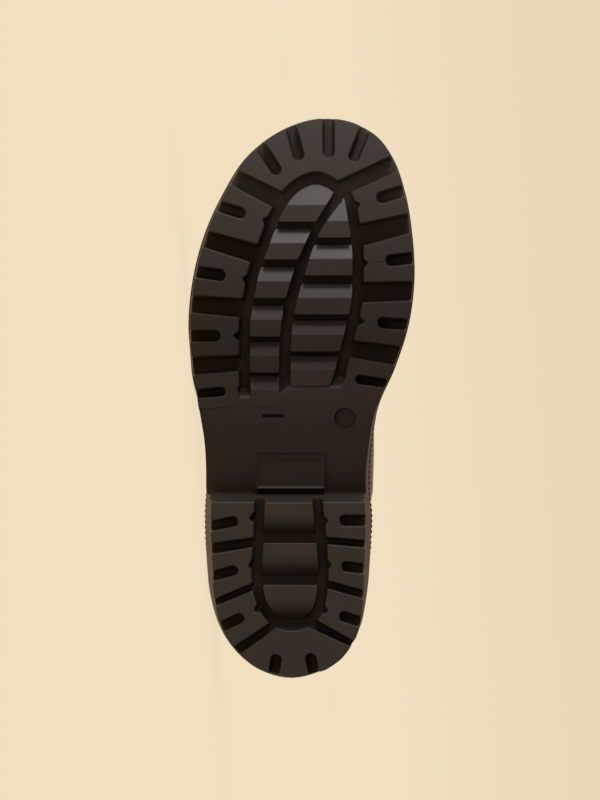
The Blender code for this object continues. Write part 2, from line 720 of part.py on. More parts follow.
def build_upper(edge, parts, material):
    """Hollow shell over the last, with a raised band at the collar, open there and underneath."""
    feather = edge.inset(WELT_WIDTH + WELT_PLAY)
    places = np.linspace(0.0, COLLAR, COLLAR * UPPER_LOOPS_PER_SECTION + 1)
    rings = [upper_loop(feather, t) for t in places if t < BAND_START - BAND_LIP]
    rings.append(upper_loop(feather, BAND_START))
    for t in (BAND_START + BAND_LIP, COLLAR):
        rings.append(upper_loop(feather, t, BAND_PROUD))
    mesh = bmesh.new()
    add_loft(mesh, rings, closed=False)
    upper = finished(mesh, "upper", parts, material, SMOOTH_ANGLE)
    wall = upper.modifiers.new("wall", "SOLIDIFY")
    wall.thickness = WALL * MM
    wall.offset = -1.0
    wall.use_even_offset = True
    wall.use_rim = True
    return upper


def build_insole(edge, parts, material):
    """Footbed inside the upper, lying on the outsole."""
    outline = edge.inset(WELT_WIDTH + WELT_PLAY + WALL + INSOLE_PLAY)
    rings = []
    for step in range(INSOLE_STATIONS + 1):
        x = outline.station((1.0 - math.cos(math.pi * step / INSOLE_STATIONS)) / 2)
        low = footbed(x) + GAP
        ends = [(outline.y(LATERAL, x), low), (outline.y(MEDIAL, x), low)]
        ends += [(y, z + INSOLE_THICKNESS) for y, z in reversed(ends)]
        rings.append([(x, y, z) for y, z in ends])
    mesh = bmesh.new()
    add_loft(mesh, rings)
    return finished(mesh, "insole", parts, material, SMOOTH_ANGLE)


def surface_points(pieces):
    """Every corner of the finished pieces, as they are modelled."""
    graph = bpy.context.evaluated_depsgraph_get()
    points = []
    for piece in pieces:
        evaluated = piece.evaluated_get(graph)
        points += [vertex.co.copy() for vertex in evaluated.to_mesh().vertices]
        evaluated.to_mesh_clear()
    return points


def resting_side(points):
    """Outward normal of the side that the boot lies on: it faces sideways and the weight falls through it."""
    hull = bmesh.new()
    for point in points:
        hull.verts.new(point)
    bmesh.ops.convex_hull(hull, input=hull.verts)
    weight = Vector(WEIGHT_POINT) * MM
    for face in hull.faces:
        normal = face.normal.copy()
        if normal.dot(face.verts[0].co - weight) < 0.0:
            normal.negate()
        corners = [vertex.co for vertex in face.verts]
        if normal.y < -SIDEWAYS and intersect_point_tri(weight, *corners):
            hull.free()
            return normal
    raise ValueError("the boot has no side to lie on")


def lay_down(pieces, parts, cutters):
    """Parent everything to an empty that lays the boot on its side, on the floor, over the origin."""
    points = surface_points(pieces)
    up = -resting_side(points)
    toe = Vector((1.0, 0.0, 0.0))
    across = -(toe - up * toe.dot(up)).normalized()
    turn = Matrix((across, up.cross(across), up))
    turned = np.array([turn @ point for point in points])
    low, high = turned.min(axis=0), turned.max(axis=0)
    middle = (low + high) / 2
    pose = bpy.data.objects.new("rain_boot", None)
    parts.objects.link(pose)
    pose.matrix_world = Matrix.Translation((-middle[0], -middle[1], -low[2])) @ turn.to_4x4()
    for piece in [*pieces, *cutters.objects]:
        piece.parent = pose


def main():
    """Build the boot in an empty scene."""
    for old in list(bpy.data.objects):
        bpy.data.objects.remove(old, do_unlink=True)
    parts = bpy.data.collections.new("rain_boot")
    cutters = bpy.data.collections.new("rain_boot_joined_bodies")
    for collection in (parts, cutters):
        bpy.context.scene.collection.children.link(collection)
    tread_rubber = principled("tread_rubber", (0.030, 0.021, 0.016), 0.55)
    welt_rubber = principled("welt_rubber", (0.050, 0.032, 0.022), 0.50)
    upper_rubber = principled("upper_rubber", (0.075, 0.044, 0.028), 0.32)
    footbed_cloth = principled("footbed_cloth", (0.120, 0.095, 0.075), 0.90)
    edge = PlanLoop.through(SOLE_BACK, SOLE_EDGE, SOLE_FRONT)
    pieces = [
        build_outsole(edge, parts, cutters, tread_rubber),
        build_welt(edge, parts, welt_rubber),
        build_upper(edge, parts, upper_rubber),
        build_insole(edge, parts, footbed_cloth),
    ]
    bpy.context.view_layer.update()
    lay_down(pieces, parts, cutters)


main()
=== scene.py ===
"""Looks of a right-foot rain boot that lies on its outer side.

It has a rubber sole, welt and upper, and a cloth footbed. Every form is worked out in the boot's own
millimetres, standing up: X runs from the heel to the toe, Y from the lateral (outer) side to the medial
(inner) side, and Z up from the ground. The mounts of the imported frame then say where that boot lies, and each
mesh is carried there.
"""

import json
import logging
import math
from abc import ABC, abstractmethod
from dataclasses import dataclass
from enum import Enum
from functools import cached_property, partial
from typing import Callable, NamedTuple, Sequence

import bmesh
import bpy
import numpy as np
from mathutils import Matrix, Vector


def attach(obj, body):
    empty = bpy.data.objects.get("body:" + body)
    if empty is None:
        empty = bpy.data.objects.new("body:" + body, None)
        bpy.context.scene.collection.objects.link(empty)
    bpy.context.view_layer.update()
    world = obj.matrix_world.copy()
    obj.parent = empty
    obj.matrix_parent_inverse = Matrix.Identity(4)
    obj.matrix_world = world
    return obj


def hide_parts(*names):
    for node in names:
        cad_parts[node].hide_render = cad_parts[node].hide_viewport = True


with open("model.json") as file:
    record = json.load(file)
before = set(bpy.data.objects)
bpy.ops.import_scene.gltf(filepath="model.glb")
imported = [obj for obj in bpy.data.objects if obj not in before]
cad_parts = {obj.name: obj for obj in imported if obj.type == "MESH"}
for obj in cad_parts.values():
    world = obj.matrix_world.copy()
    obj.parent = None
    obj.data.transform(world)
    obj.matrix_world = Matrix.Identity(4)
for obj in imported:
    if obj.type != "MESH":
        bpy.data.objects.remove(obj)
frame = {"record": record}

LOG = logging.getLogger("rain_boot")
MM = 0.001
FLAT = math.radians(0.3)
SMOOTH = math.radians(35.0)
Depth = float | Callable[[np.ndarray], np.ndarray]
Colour = tuple[float, float, float]


class Side(Enum):
    """The two long sides of the boot, with the sign of their offsets."""

    LATERAL = -1
    MEDIAL = 1


class Axis(Enum):
    """Axes, with their numbers."""

    X = 0
    Y = 1
    Z = 2


class Tool(Enum):
    """What a Boolean does with the second body."""

    JOIN = "UNION"
    CUT = "DIFFERENCE"


class Zone(Enum):
    """The outsole's material slots: the tread's rubber with painted light and shade, graded along the boot on
    the faces, darkening with depth as painted shade in the hollows and on the ramps, darker under the waist as
    painted shade, and a painted reflection on the side walls with painted shade at the back of the heel.
    """

    FACE = 0
    HOLLOW = 1
    RAMP = 2
    WAIST = 3
    WALL = 4


class Layer(Enum):
    """The upper's material slots."""

    RUBBER = 0
    LINING = 1


class EdgeRow(NamedTuple):
    """Offsets of a plan outline's two sides at one station."""

    station: float
    lateral: float
    medial: float


class Groove(NamedTuple):
    """Groove between two lugs: the stations of its toe-side and heel-side edges, at both ends."""

    side: Side
    front_out: float
    front_in: float
    back_out: float
    back_in: float

    def beside(self, lug_follows: bool) -> tuple[float, float]:
        """The groove's edge at one of its two lugs.

        Args:
            lug_follows: Whether it is the lug after the groove, in the order of the tread's edge.

        Returns:
            Outer and inner station of that edge.
        """
        if lug_follows == (self.side is Side.LATERAL):
            return self.front_out, self.front_in
        return self.back_out, self.back_in


class Slot(NamedTuple):
    """Slot in a lug by its closed end and its heading outwards from the toe direction, in degrees."""

    end_x: float
    end_y: float
    heading: float
    width: float
    neck: float = 0.0

    @property
    def tip(self) -> np.ndarray:
        """The closed end."""
        return np.array([self.end_x, self.end_y])

    @property
    def axis(self) -> np.ndarray:
        """Direction outwards."""
        heading = math.radians(self.heading)
        return np.array([math.cos(heading), math.sin(heading)])

    def arc(self, steps: int) -> np.ndarray:
        """Round of the closed end.

        Args:
            steps: Number of its steps.

        Returns:
            Plan points from one side of the slot to the other.
        """
        half = self.width / 2
        normal = np.array([-self.axis[1], self.axis[0]])
        turns = np.linspace(0.0, math.pi, steps + 1)[:, None]
        return self.tip + self.axis * half - half * (normal * np.cos(turns) + self.axis * np.sin(turns))


class HeelBlock(NamedTuple):
    """Stations of a middle block of the heel."""

    front: float
    crest: float
    back: float


class Section(NamedTuple):
    """Section of the upper: its ends, how it follows the sole, and the rounded form that it turns into."""

    back_x: float
    back_z: float
    front_x: float
    front_z: float
    swing: float
    follow: float
    sole_share: float
    sole_scale: float
    heel_half: float
    fore_half: float
    round_back: float
    round_front: float
    bulge: float


class Level(NamedTuple):
    """One ring of a tread block: how far its sides and its outer edge stand out, and its height."""

    draft: float
    edge_shift: float
    height: float


def ease(value: np.ndarray | float) -> np.ndarray | float:
    """Smooth step from 0 to 1."""
    share = np.clip(value, 0.0, 1.0)
    return share * share * (3.0 - 2.0 * share)


def srgb(red: int, green: int, blue: int) -> Colour:
    """Linear colour of an 8-bit one, by the sRGB formula.

    Args:
        red: Red part.
        green: Green part.
        blue: Blue part.

    Returns:
        The linear colour.
    """
    parts = np.array([red, green, blue]) / 255
    linear = np.where(parts > 0.04045, ((parts + 0.055) / 1.055) ** 2.4, parts / 12.92)
    return tuple(float(part) for part in linear)


def at_height(plan: np.ndarray, height: float) -> np.ndarray:
    """Plan points, all at one height."""
    return np.column_stack([plan, np.full(len(plan), height)])


def hermite(
    start: np.ndarray, leave: np.ndarray, end: np.ndarray, arrive: np.ndarray, u: np.ndarray | float
) -> np.ndarray:
    """Cubic curve between two values.

    Args:
        start: Value at the start.
        leave: Slope at the start.
        end: Value at the end.
        arrive: Slope at the end.
        u: Place along the curve, from 0 to 1.

    Returns:
        The curve's value at that place.
    """
    return (
        (2 * u**3 - 3 * u**2 + 1) * start
        + (u**3 - 2 * u**2 + u) * leave
        + (3 * u**2 - 2 * u**3) * end
        + (u**3 - u**2) * arrive
    )


class PlanLoop:
    """Closed plan curve from its back point along the lateral side to its front point, and back."""

    STEPS = 48

    def __init__(self, points: np.ndarray) -> None:
        """Keep the points and the two sides of a loop.

        Args:
            points: Points of the loop, the back point first.
        """
        self.points = points
        self.front = int(points[:, 0].argmax())
        self.back_x = float(points[:, 0].min())
        self.front_x = float(points[self.front, 0])
        self.sides = {
            Side.LATERAL: points[: self.front + 1],
            Side.MEDIAL: np.vstack([points[self.front :], points[:1]])[::-1],
        }

    @classmethod
    def through(
        cls, back: tuple[float, float], rows: Sequence[EdgeRow], front: tuple[float, float]
    ) -> "PlanLoop":
        """Smooth loop through the rows of a table and the two end points.

        Args:
            back: Back point.
            rows: Rows from back to front.
            front: Front point.

        Returns:
            The loop, with the rearmost of its points first.
        """
        lateral = [(row.station, row.lateral) for row in rows]
        medial = [(row.station, row.medial) for row in reversed(rows)]
        ring = np.array([back, *lateral, front, *medial])
        ahead = np.roll(ring, -1, axis=0) - ring
        length = np.linalg.norm(ahead, axis=1, keepdims=True)
        slope = ahead / length
        before = np.roll(length, 1, axis=0)
        tangent = (np.roll(slope, 1, axis=0) * length + slope * before) / (length + before)
        u = np.linspace(0.0, 1.0, cls.STEPS, endpoint=False)[None, :, None]
        leave = (tangent * length)[:, None]
        arrive = (np.roll(tangent, -1, axis=0) * length)[:, None]
        curve = hermite(ring[:, None], leave, np.roll(ring, -1, axis=0)[:, None], arrive, u).reshape(-1, 2)
        return cls(np.roll(curve, -curve[:, 0].argmin(), axis=0))

    def inset(self, depth: Depth) -> "PlanLoop":
        """The loop moved inwards, point by point.

        Args:
            depth: How far, as a number or a function of the points.

        Returns:
            A loop whose points match this one's.
        """
        along = np.roll(self.points, -1, axis=0) - np.roll(self.points, 1, axis=0)
        along /= np.linalg.norm(along, axis=1, keepdims=True)
        inwards = np.column_stack([-along[:, 1], along[:, 0]])
        amount = depth(self.points) if callable(depth) else np.full(len(self.points), depth)
        return PlanLoop(self.points + inwards * amount[:, None])

    def y(self, side: Side, x: float) -> float:
        """Offset of one side at a station."""
        edge = self.sides[side]
        return float(np.interp(x, np.maximum.accumulate(edge[:, 0]), edge[:, 1]))

    def index(self, side: Side, x: float) -> int:
        """Place along the loop of a station on one side.

        Args:
            side: The side.
            x: The station.

        Returns:
            Number of the nearest point.
        """
        if side is Side.LATERAL:
            return int(np.argmin(abs(self.points[: self.front + 1, 0] - x)))
        return self.front + int(np.argmin(abs(self.points[self.front :, 0] - x)))

    def run(self, start: int, stop: int) -> np.ndarray:
        """Points from one place along the loop to another, across its start if need be."""
        count = len(self.points)
        return self.points[np.arange(start, stop + (count if stop < start else 0) + 1) % count]

    def station(self, share: float) -> float:
        """Station at a share of the loop's length."""
        return self.back_x + share * (self.front_x - self.back_x)

    def spaced(self, spacing: float) -> np.ndarray:
        """Points of the loop at an even spacing."""
        return self.points[self.places(spacing)]

    def places(self, spacing: float) -> np.ndarray:
        """Places along the loop at an even spacing.

        Args:
            spacing: Distance from one to the next.

        Returns:
            Numbers of the points.
        """
        travel = np.concatenate([[0.0], np.cumsum(np.linalg.norm(np.diff(self.points, axis=0), axis=1))])
        wanted = np.linspace(0.0, travel[-1], int(travel[-1] / spacing), endpoint=False)
        return np.searchsorted(travel, wanted)

    def matched(self, point: np.ndarray, other: "PlanLoop") -> np.ndarray:
        """The place on another loop that matches the nearest place on this one."""
        return other.points[np.argmin(((self.points - point) ** 2).sum(axis=1))]


@dataclass(frozen=True)
class BootPose:
    """Where the standing boot's millimetres lie in the frame, from the two mounts under its tread."""

    heel_spot: tuple[float, float, float] = (10.0, 2.5, 0.0)
    ball_spot: tuple[float, float, float] = (186.0, 18.0, 0.0)

    def matrix(self, mounts: Sequence[dict]) -> Matrix:
        """Transform from the boot's millimetres to the frame's metres.

        Args:
            mounts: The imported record's mounts.

        Returns:
            The transform.
        """
        by_name = {mount["name"]: mount for mount in mounts}
        heel = Vector(by_name["heel_tread"]["pos_m"])
        ball = Vector(by_name["ball_tread"]["pos_m"])
        up = -Vector(by_name["heel_tread"]["axis"]).normalized()
        span = Vector(self.ball_spot) - Vector(self.heel_spot)
        turn = Matrix.Rotation(-math.atan2(span.y, span.x), 3, up)
        toe = ball - heel
        toe = turn @ (toe - up * toe.dot(up)).normalized()
        axes = Matrix((toe, up.cross(toe), up)).transposed()
        origin = heel - axes @ (Vector(self.heel_spot) * MM)
        return Matrix.Translation(origin) @ axes.to_4x4() @ Matrix.Scale(MM, 4)


class Clay:
    """A bmesh in the boot's millimetres, and the ways in which the pieces are shaped from it."""

    MERGE = 0.001
    CLOSE = 0.2

    def __init__(self) -> None:
        """Start with nothing."""
        self.mesh = bmesh.new()

    def face(self, points: np.ndarray) -> bmesh.types.BMFace:
        """Flat face with the given plan outline, on the ground."""
        return self.mesh.faces.new(self.ring(at_height(points, 0.0)))

    def ring(self, points: np.ndarray) -> list[bmesh.types.BMVert]:
        """Closed ring of edges.

        Args:
            points: Points that it goes through.

        Returns:
            Its vertices, in the points' order.
        """
        made = bmesh.ops.create_circle(self.mesh, segments=len(points), radius=1.0)["verts"]
        self.place(made, points)
        return made

    @staticmethod
    def place(ring: Sequence[bmesh.types.BMVert], points: np.ndarray) -> None:
        """Move a ring's vertices to points, in their order."""
        for vertex, point in zip(ring, points):
            vertex.co = point

    def raised(self, ring: Sequence[bmesh.types.BMVert], points: np.ndarray) -> list[bmesh.types.BMVert]:
        """Extrude a ring to new points.

        Args:
            ring: Ring to extrude.
            points: Where its vertices go.

        Returns:
            The new ring, in the same order.
        """
        edges = [self.mesh.edges.get(pair) for pair in zip(ring, [*ring[1:], ring[0]])]
        made = bmesh.ops.extrude_edge_only(self.mesh, edges=edges)["geom"]
        fresh = {item for item in made if isinstance(item, bmesh.types.BMVert)}
        lifted = []
        for vertex in ring:
            ends = [edge.other_vert(vertex) for edge in vertex.link_edges]
            lifted.append(next(end for end in ends if end in fresh))
        self.place(lifted, points)
        return lifted

    def box(self, middle: Sequence[float], size: Sequence[float]) -> None:
        """Add a box.

        Args:
            middle: Its middle.
            size: Its size along the three axes.
        """
        made = bmesh.ops.create_cube(self.mesh, size=1.0)["verts"]
        bmesh.ops.scale(self.mesh, vec=size, verts=made)
        bmesh.ops.translate(self.mesh, vec=middle, verts=made)

    def sliced(self, axis: Axis, places: Sequence[float]) -> None:
        """Cut edges right across the mesh.

        Args:
            axis: The axis that the cuts lie across.
            places: Where on that axis they lie; one that is close to another is left out.
        """
        normal = Vector((0.0, 0.0, 0.0))
        normal[axis.value] = 1.0
        last = -math.inf
        for place in sorted(places):
            if place - last < self.CLOSE:
                continue
            last = place
            geometry = [*self.mesh.verts, *self.mesh.edges, *self.mesh.faces]
            bmesh.ops.bisect_plane(
                self.mesh, geom=geometry, dist=self.MERGE, plane_co=normal * place, plane_no=normal
            )

    def softened(self, edges: Sequence[bmesh.types.BMEdge], width: float, segments: int) -> None:
        """Round edges.

        Args:
            edges: The edges.
            width: Width that the rounding takes up on either side of an edge.
            segments: Number of faces across the rounding.
        """
        bmesh.ops.bevel(
            self.mesh,
            geom=list(edges),
            offset=width,
            offset_type="OFFSET",
            segments=segments,
            profile=0.5,
            affect="EDGES",
            material=-1,
            clamp_overlap=False,
        )

    def added(self, other: "Clay") -> None:
        """Take in another mesh, and free it.

        Args:
            other: The mesh that is used up.
        """
        spare = bpy.data.meshes.new("spare")
        other.mesh.to_mesh(spare)
        other.mesh.free()
        self.mesh.from_mesh(spare)
        bpy.data.meshes.remove(spare)

    def ordered(self) -> None:
        """Put the mesh's parts in the order of their places, as extruding leaves them in no fixed order."""
        for parts, middle in (
            (self.mesh.verts, lambda vertex: vertex.co),
            (self.mesh.edges, lambda edge: edge.verts[0].co + edge.verts[1].co),
            (self.mesh.faces, lambda face: face.calc_center_median()),
        ):
            ranked = sorted(parts, key=lambda part: tuple(middle(part)))
            ranks = {part: rank for rank, part in enumerate(ranked)}
            parts.sort(key=ranks.get)

    def piece(self, name: str, pose: Matrix) -> bpy.types.Object:
        """Object made from the mesh, carried to where the boot lies.

        Args:
            name: Name of the piece.
            pose: Where the boot lies.

        Returns:
            The object, at the origin, with its place in its mesh.
        """
        bmesh.ops.remove_doubles(self.mesh, verts=self.mesh.verts, dist=self.MERGE)
        bmesh.ops.recalc_face_normals(self.mesh, faces=self.mesh.faces)
        self.ordered()
        bmesh.ops.transform(self.mesh, matrix=pose, verts=self.mesh.verts)
        data = bpy.data.meshes.new(name)
        self.mesh.to_mesh(data)
        self.mesh.free()
        data.shade_smooth()
        data.set_sharp_from_angle(angle=SMOOTH)
        made = bpy.data.objects.new(name, data)
        bpy.context.scene.collection.objects.link(made)
        return made


def worked(body: bpy.types.Object, other: bpy.types.Object, tool: Tool) -> None:
    """Join a second body to a first, or cut it out of it, and remove it.

    Args:
        body: The body that is changed.
        other: The body that is used up.
        tool: What is done.
    """
    step = body.modifiers.new("work", "BOOLEAN")
    step.operation = tool.value
    step.solver = "MANIFOLD"
    step.object = other
    graph = bpy.context.evaluated_depsgraph_get()
    old = body.data
    body.data = bpy.data.meshes.new_from_object(body.evaluated_get(graph))
    body.data.materials.clear()
    body.modifiers.remove(step)
    body.data.name = body.name
    bpy.data.meshes.remove(old)
    spent = other.data
    bpy.data.objects.remove(other)
    bpy.data.meshes.remove(spent)


def finished(body: bpy.types.Object) -> None:
    """Join a worked body's flat faces again, and shade it.

    Args:
        body: The body.
    """
    mesh = bmesh.new()
    mesh.from_mesh(body.data)
    bmesh.ops.dissolve_limit(mesh, angle_limit=FLAT, verts=mesh.verts, edges=mesh.edges)
    mesh.to_mesh(body.data)
    mesh.free()
    body.data.shade_smooth()
    body.data.set_sharp_from_angle(angle=SMOOTH)


def outline_sign(points: np.ndarray) -> float:
    """1 for a plan polygon that runs anticlockwise, and -1 for one that runs clockwise."""
    ahead = np.roll(points, -1, axis=0)
    return float(np.sign((points[:, 0] * ahead[:, 1] - ahead[:, 0] * points[:, 1]).sum()))


class Outline:
    """Plan polygon of a tread block, with a mark on each point that lies on the sole's edge."""

    SPACING = 1.2
    EDGE_CORNER = 0.7
    CORNER_TURN = math.radians(24.0)
    PARALLEL = 0.2
    ARC_STEPS = 5
    REACH = 0.46
    NEAR_STRAIGHT = 0.98

    def __init__(self, points: np.ndarray, on_edge: np.ndarray) -> None:
        """Keep a polygon.

        Args:
            points: Its points, with the block on their left.
            on_edge: Which of them lie on the sole's edge.
        """
        self.points = points
        self.on_edge = on_edge
        ahead = np.roll(points, -1, axis=0) - points
        heading = np.arctan2(ahead[:, 1], ahead[:, 0])
        turn = (heading - np.roll(heading, 1) + math.pi) % (2 * math.pi) - math.pi
        self.sharp = abs(turn) > self.CORNER_TURN

    @classmethod
    def thinned(cls, chain: np.ndarray) -> np.ndarray:
        """Thin out a chain of points.

        Args:
            chain: The points.

        Returns:
            Points at about the outline's spacing with both ends, where there is room for a round corner.
        """
        length = np.linalg.norm(np.diff(chain, axis=0), axis=1).sum()
        count = max(2, int(round(length / cls.SPACING)) + 1)
        places = np.linspace(0, len(chain) - 1, count).round().astype(int)
        if count > 3:
            places = np.array([places[0], *places[2:-2], places[-1]])
        return chain[places]

    def grown(self, draft: float, edge_shift: float) -> np.ndarray:
        """The polygon with its sides moved outwards.

        Args:
            draft: How far the sides move.
            edge_shift: How far those on the sole's edge move.

        Returns:
            The moved points.
        """
        ahead = np.roll(self.points, -1, axis=0) - self.points
        ahead /= np.linalg.norm(ahead, axis=1, keepdims=True)
        outwards = np.column_stack([ahead[:, 1], -ahead[:, 0]])
        shift = np.where(self.on_edge & np.roll(self.on_edge, -1), edge_shift, draft)
        moved = []
        for i, point in enumerate(self.points):
            sides = np.array([outwards[i - 1], outwards[i]])
            wanted = np.array([shift[i - 1], shift[i]])
            if abs(np.linalg.det(sides)) < self.PARALLEL:
                moved.append(point + sides.mean(axis=0) * wanted.mean())
            else:
                moved.append(point + np.linalg.solve(sides, wanted))
        return np.array(moved)

    def rounded(self, points: np.ndarray, radius: float) -> np.ndarray:
        """A ring of this polygon's points with its sharp corners rounded.

        Args:
            points: The ring, as grown gives it.
            radius: Radius of a corner, where its sides are long enough.

        Returns:
            The ring, with as many points for each corner whatever its radius.
        """
        ring = []
        for i, point in enumerate(points):
            if not self.sharp[i]:
                ring.append(point)
                continue
            back, ahead = points[i - 1] - point, points[(i + 1) % len(points)] - point
            back_length, ahead_length = np.linalg.norm(back), np.linalg.norm(ahead)
            cosine = back @ ahead / (back_length * ahead_length)
            cosine = np.clip(cosine, -self.NEAR_STRAIGHT, self.NEAR_STRAIGHT)
            wanted = radius * (self.EDGE_CORNER if self.on_edge[i] else 1.0)
            reach = wanted / math.tan(math.acos(cosine) / 2)
            reach = min(reach, self.REACH * back_length, self.REACH * ahead_length)
            middle = back / back_length + ahead / ahead_length
            centre = point + middle * reach / (1.0 + cosine)
            start = point + back / back_length * reach - centre
            end = point + ahead / ahead_length * reach - centre
            turn = math.pi - math.acos(cosine)
            for u in np.linspace(0.0, 1.0, self.ARC_STEPS):
                spoke = math.sin((1.0 - u) * turn) * start + math.sin(u * turn) * end
                ring.append(centre + spoke / math.sin(turn))
        return np.array(ring)


class BootPiece(ABC):
    """A piece of the boot, which builds its mesh and dresses it."""

    @abstractmethod
    def build(self, pose: Matrix) -> bpy.types.Object:
        """The bare piece.

        Args:
            pose: Where the boot lies.

        Returns:
            The piece.
        """

    def dressed(self, pose: Matrix, node: str, slot: str, *finishes: "Finish") -> bpy.types.Object:
        """The piece with its finishes and its place in the frame.

        Args:
            pose: Where the boot lies.
            node: The frame's node that it stands for.
            slot: The record's material slot of that node. It is not used.
            finishes: Finishes for its material slots.

        Returns:
            The piece.
        """
        piece = self.build(pose)
        for finish in finishes:
            piece.data.materials.append(finish.material())
        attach(piece, "root")
        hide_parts(node)
        LOG.info("%s stands for %s with %d faces", piece.name, node, len(piece.data.polygons))
        return piece


@dataclass(frozen=True)
class SoleForm:
    """Outline and heights that the sole, welt, upper and insole share."""

    tread_depth: float = 6.5
    heel_tread_depth: float = 6.0
    ball_height: float = 13.0
    heel_height: float = 30.0
    seat_end: float = 62.0
    ball_start: float = 167.5
    spring: float = 12.0
    spring_start: float = 205.0
    gap: float = 0.3
    welt_width: float = 4.8
    welt_play: float = 0.45
    shell_wall: float = 2.4
    side_blend: float = 40.0
    back: tuple[float, float] = (-1.5, 1.6)
    front: tuple[float, float] = (282.9, 18.0)
    rows: tuple[EdgeRow, ...] = (
        EdgeRow(4.0, -16.0, 19.2),
        EdgeRow(11.5, -24.8, 27.8),
        EdgeRow(25.0, -34.2, 36.2),
        EdgeRow(42.5, -39.6, 40.0),
        EdgeRow(60.0, -41.4, 41.6),
        EdgeRow(70.0, -41.9, 42.0),
        EdgeRow(83.0, -42.1, 42.4),
        EdgeRow(97.5, -41.5, 40.8),
        EdgeRow(120.5, -42.2, 42.4),
        EdgeRow(138.5, -45.2, 45.6),
        EdgeRow(157.5, -48.5, 53.6),
        EdgeRow(178.5, -49.8, 60.3),
        EdgeRow(202.5, -47.5, 63.3),
        EdgeRow(224.5, -41.7, 62.2),
        EdgeRow(245.5, -32.2, 58.7),
        EdgeRow(262.0, -21.9, 53.1),
        EdgeRow(273.3, -9.3, 45.3),
        EdgeRow(280.2, 4.2, 34.1),
    )

    @cached_property
    def edge(self) -> PlanLoop:
        """Edge of the sole at the welt."""
        return PlanLoop.through(self.back, self.rows, self.front)

    @cached_property
    def feather(self) -> PlanLoop:
        """Line where the upper meets the sole."""
        return self.edge.inset(self.welt_width + self.welt_play)

    def by_side(self, points: np.ndarray, rows: Sequence[EdgeRow]) -> np.ndarray:
        """Values of a table of the boot's two sides, blended across its middle.

        Args:
            points: Plan points.
            rows: The table, from back to front.

        Returns:
            The values at the points.
        """
        stations, *ends = np.array(rows).T
        lateral, medial = (np.interp(points[:, 0], stations, end) for end in ends)
        middle = np.interp(points[:, 0], (self.back[0], self.front[0]), (self.back[1], self.front[1]))
        share = ease((points[:, 1] - middle) / self.side_blend + 0.5)
        return lateral + (medial - lateral) * share

    def toe_spring(self, x: float) -> float:
        """Lift of the forefoot off the ground."""
        run = np.maximum(0.0, x - self.spring_start) / (self.front[0] - self.spring_start)
        return self.spring * run * run

    def footbed(self, x: float) -> float:
        """Height of the top of the outsole."""
        drop = ease((self.ball_start - x) / (self.ball_start - self.seat_end))
        return self.ball_height + (self.heel_height - self.ball_height) * drop + self.toe_spring(x)


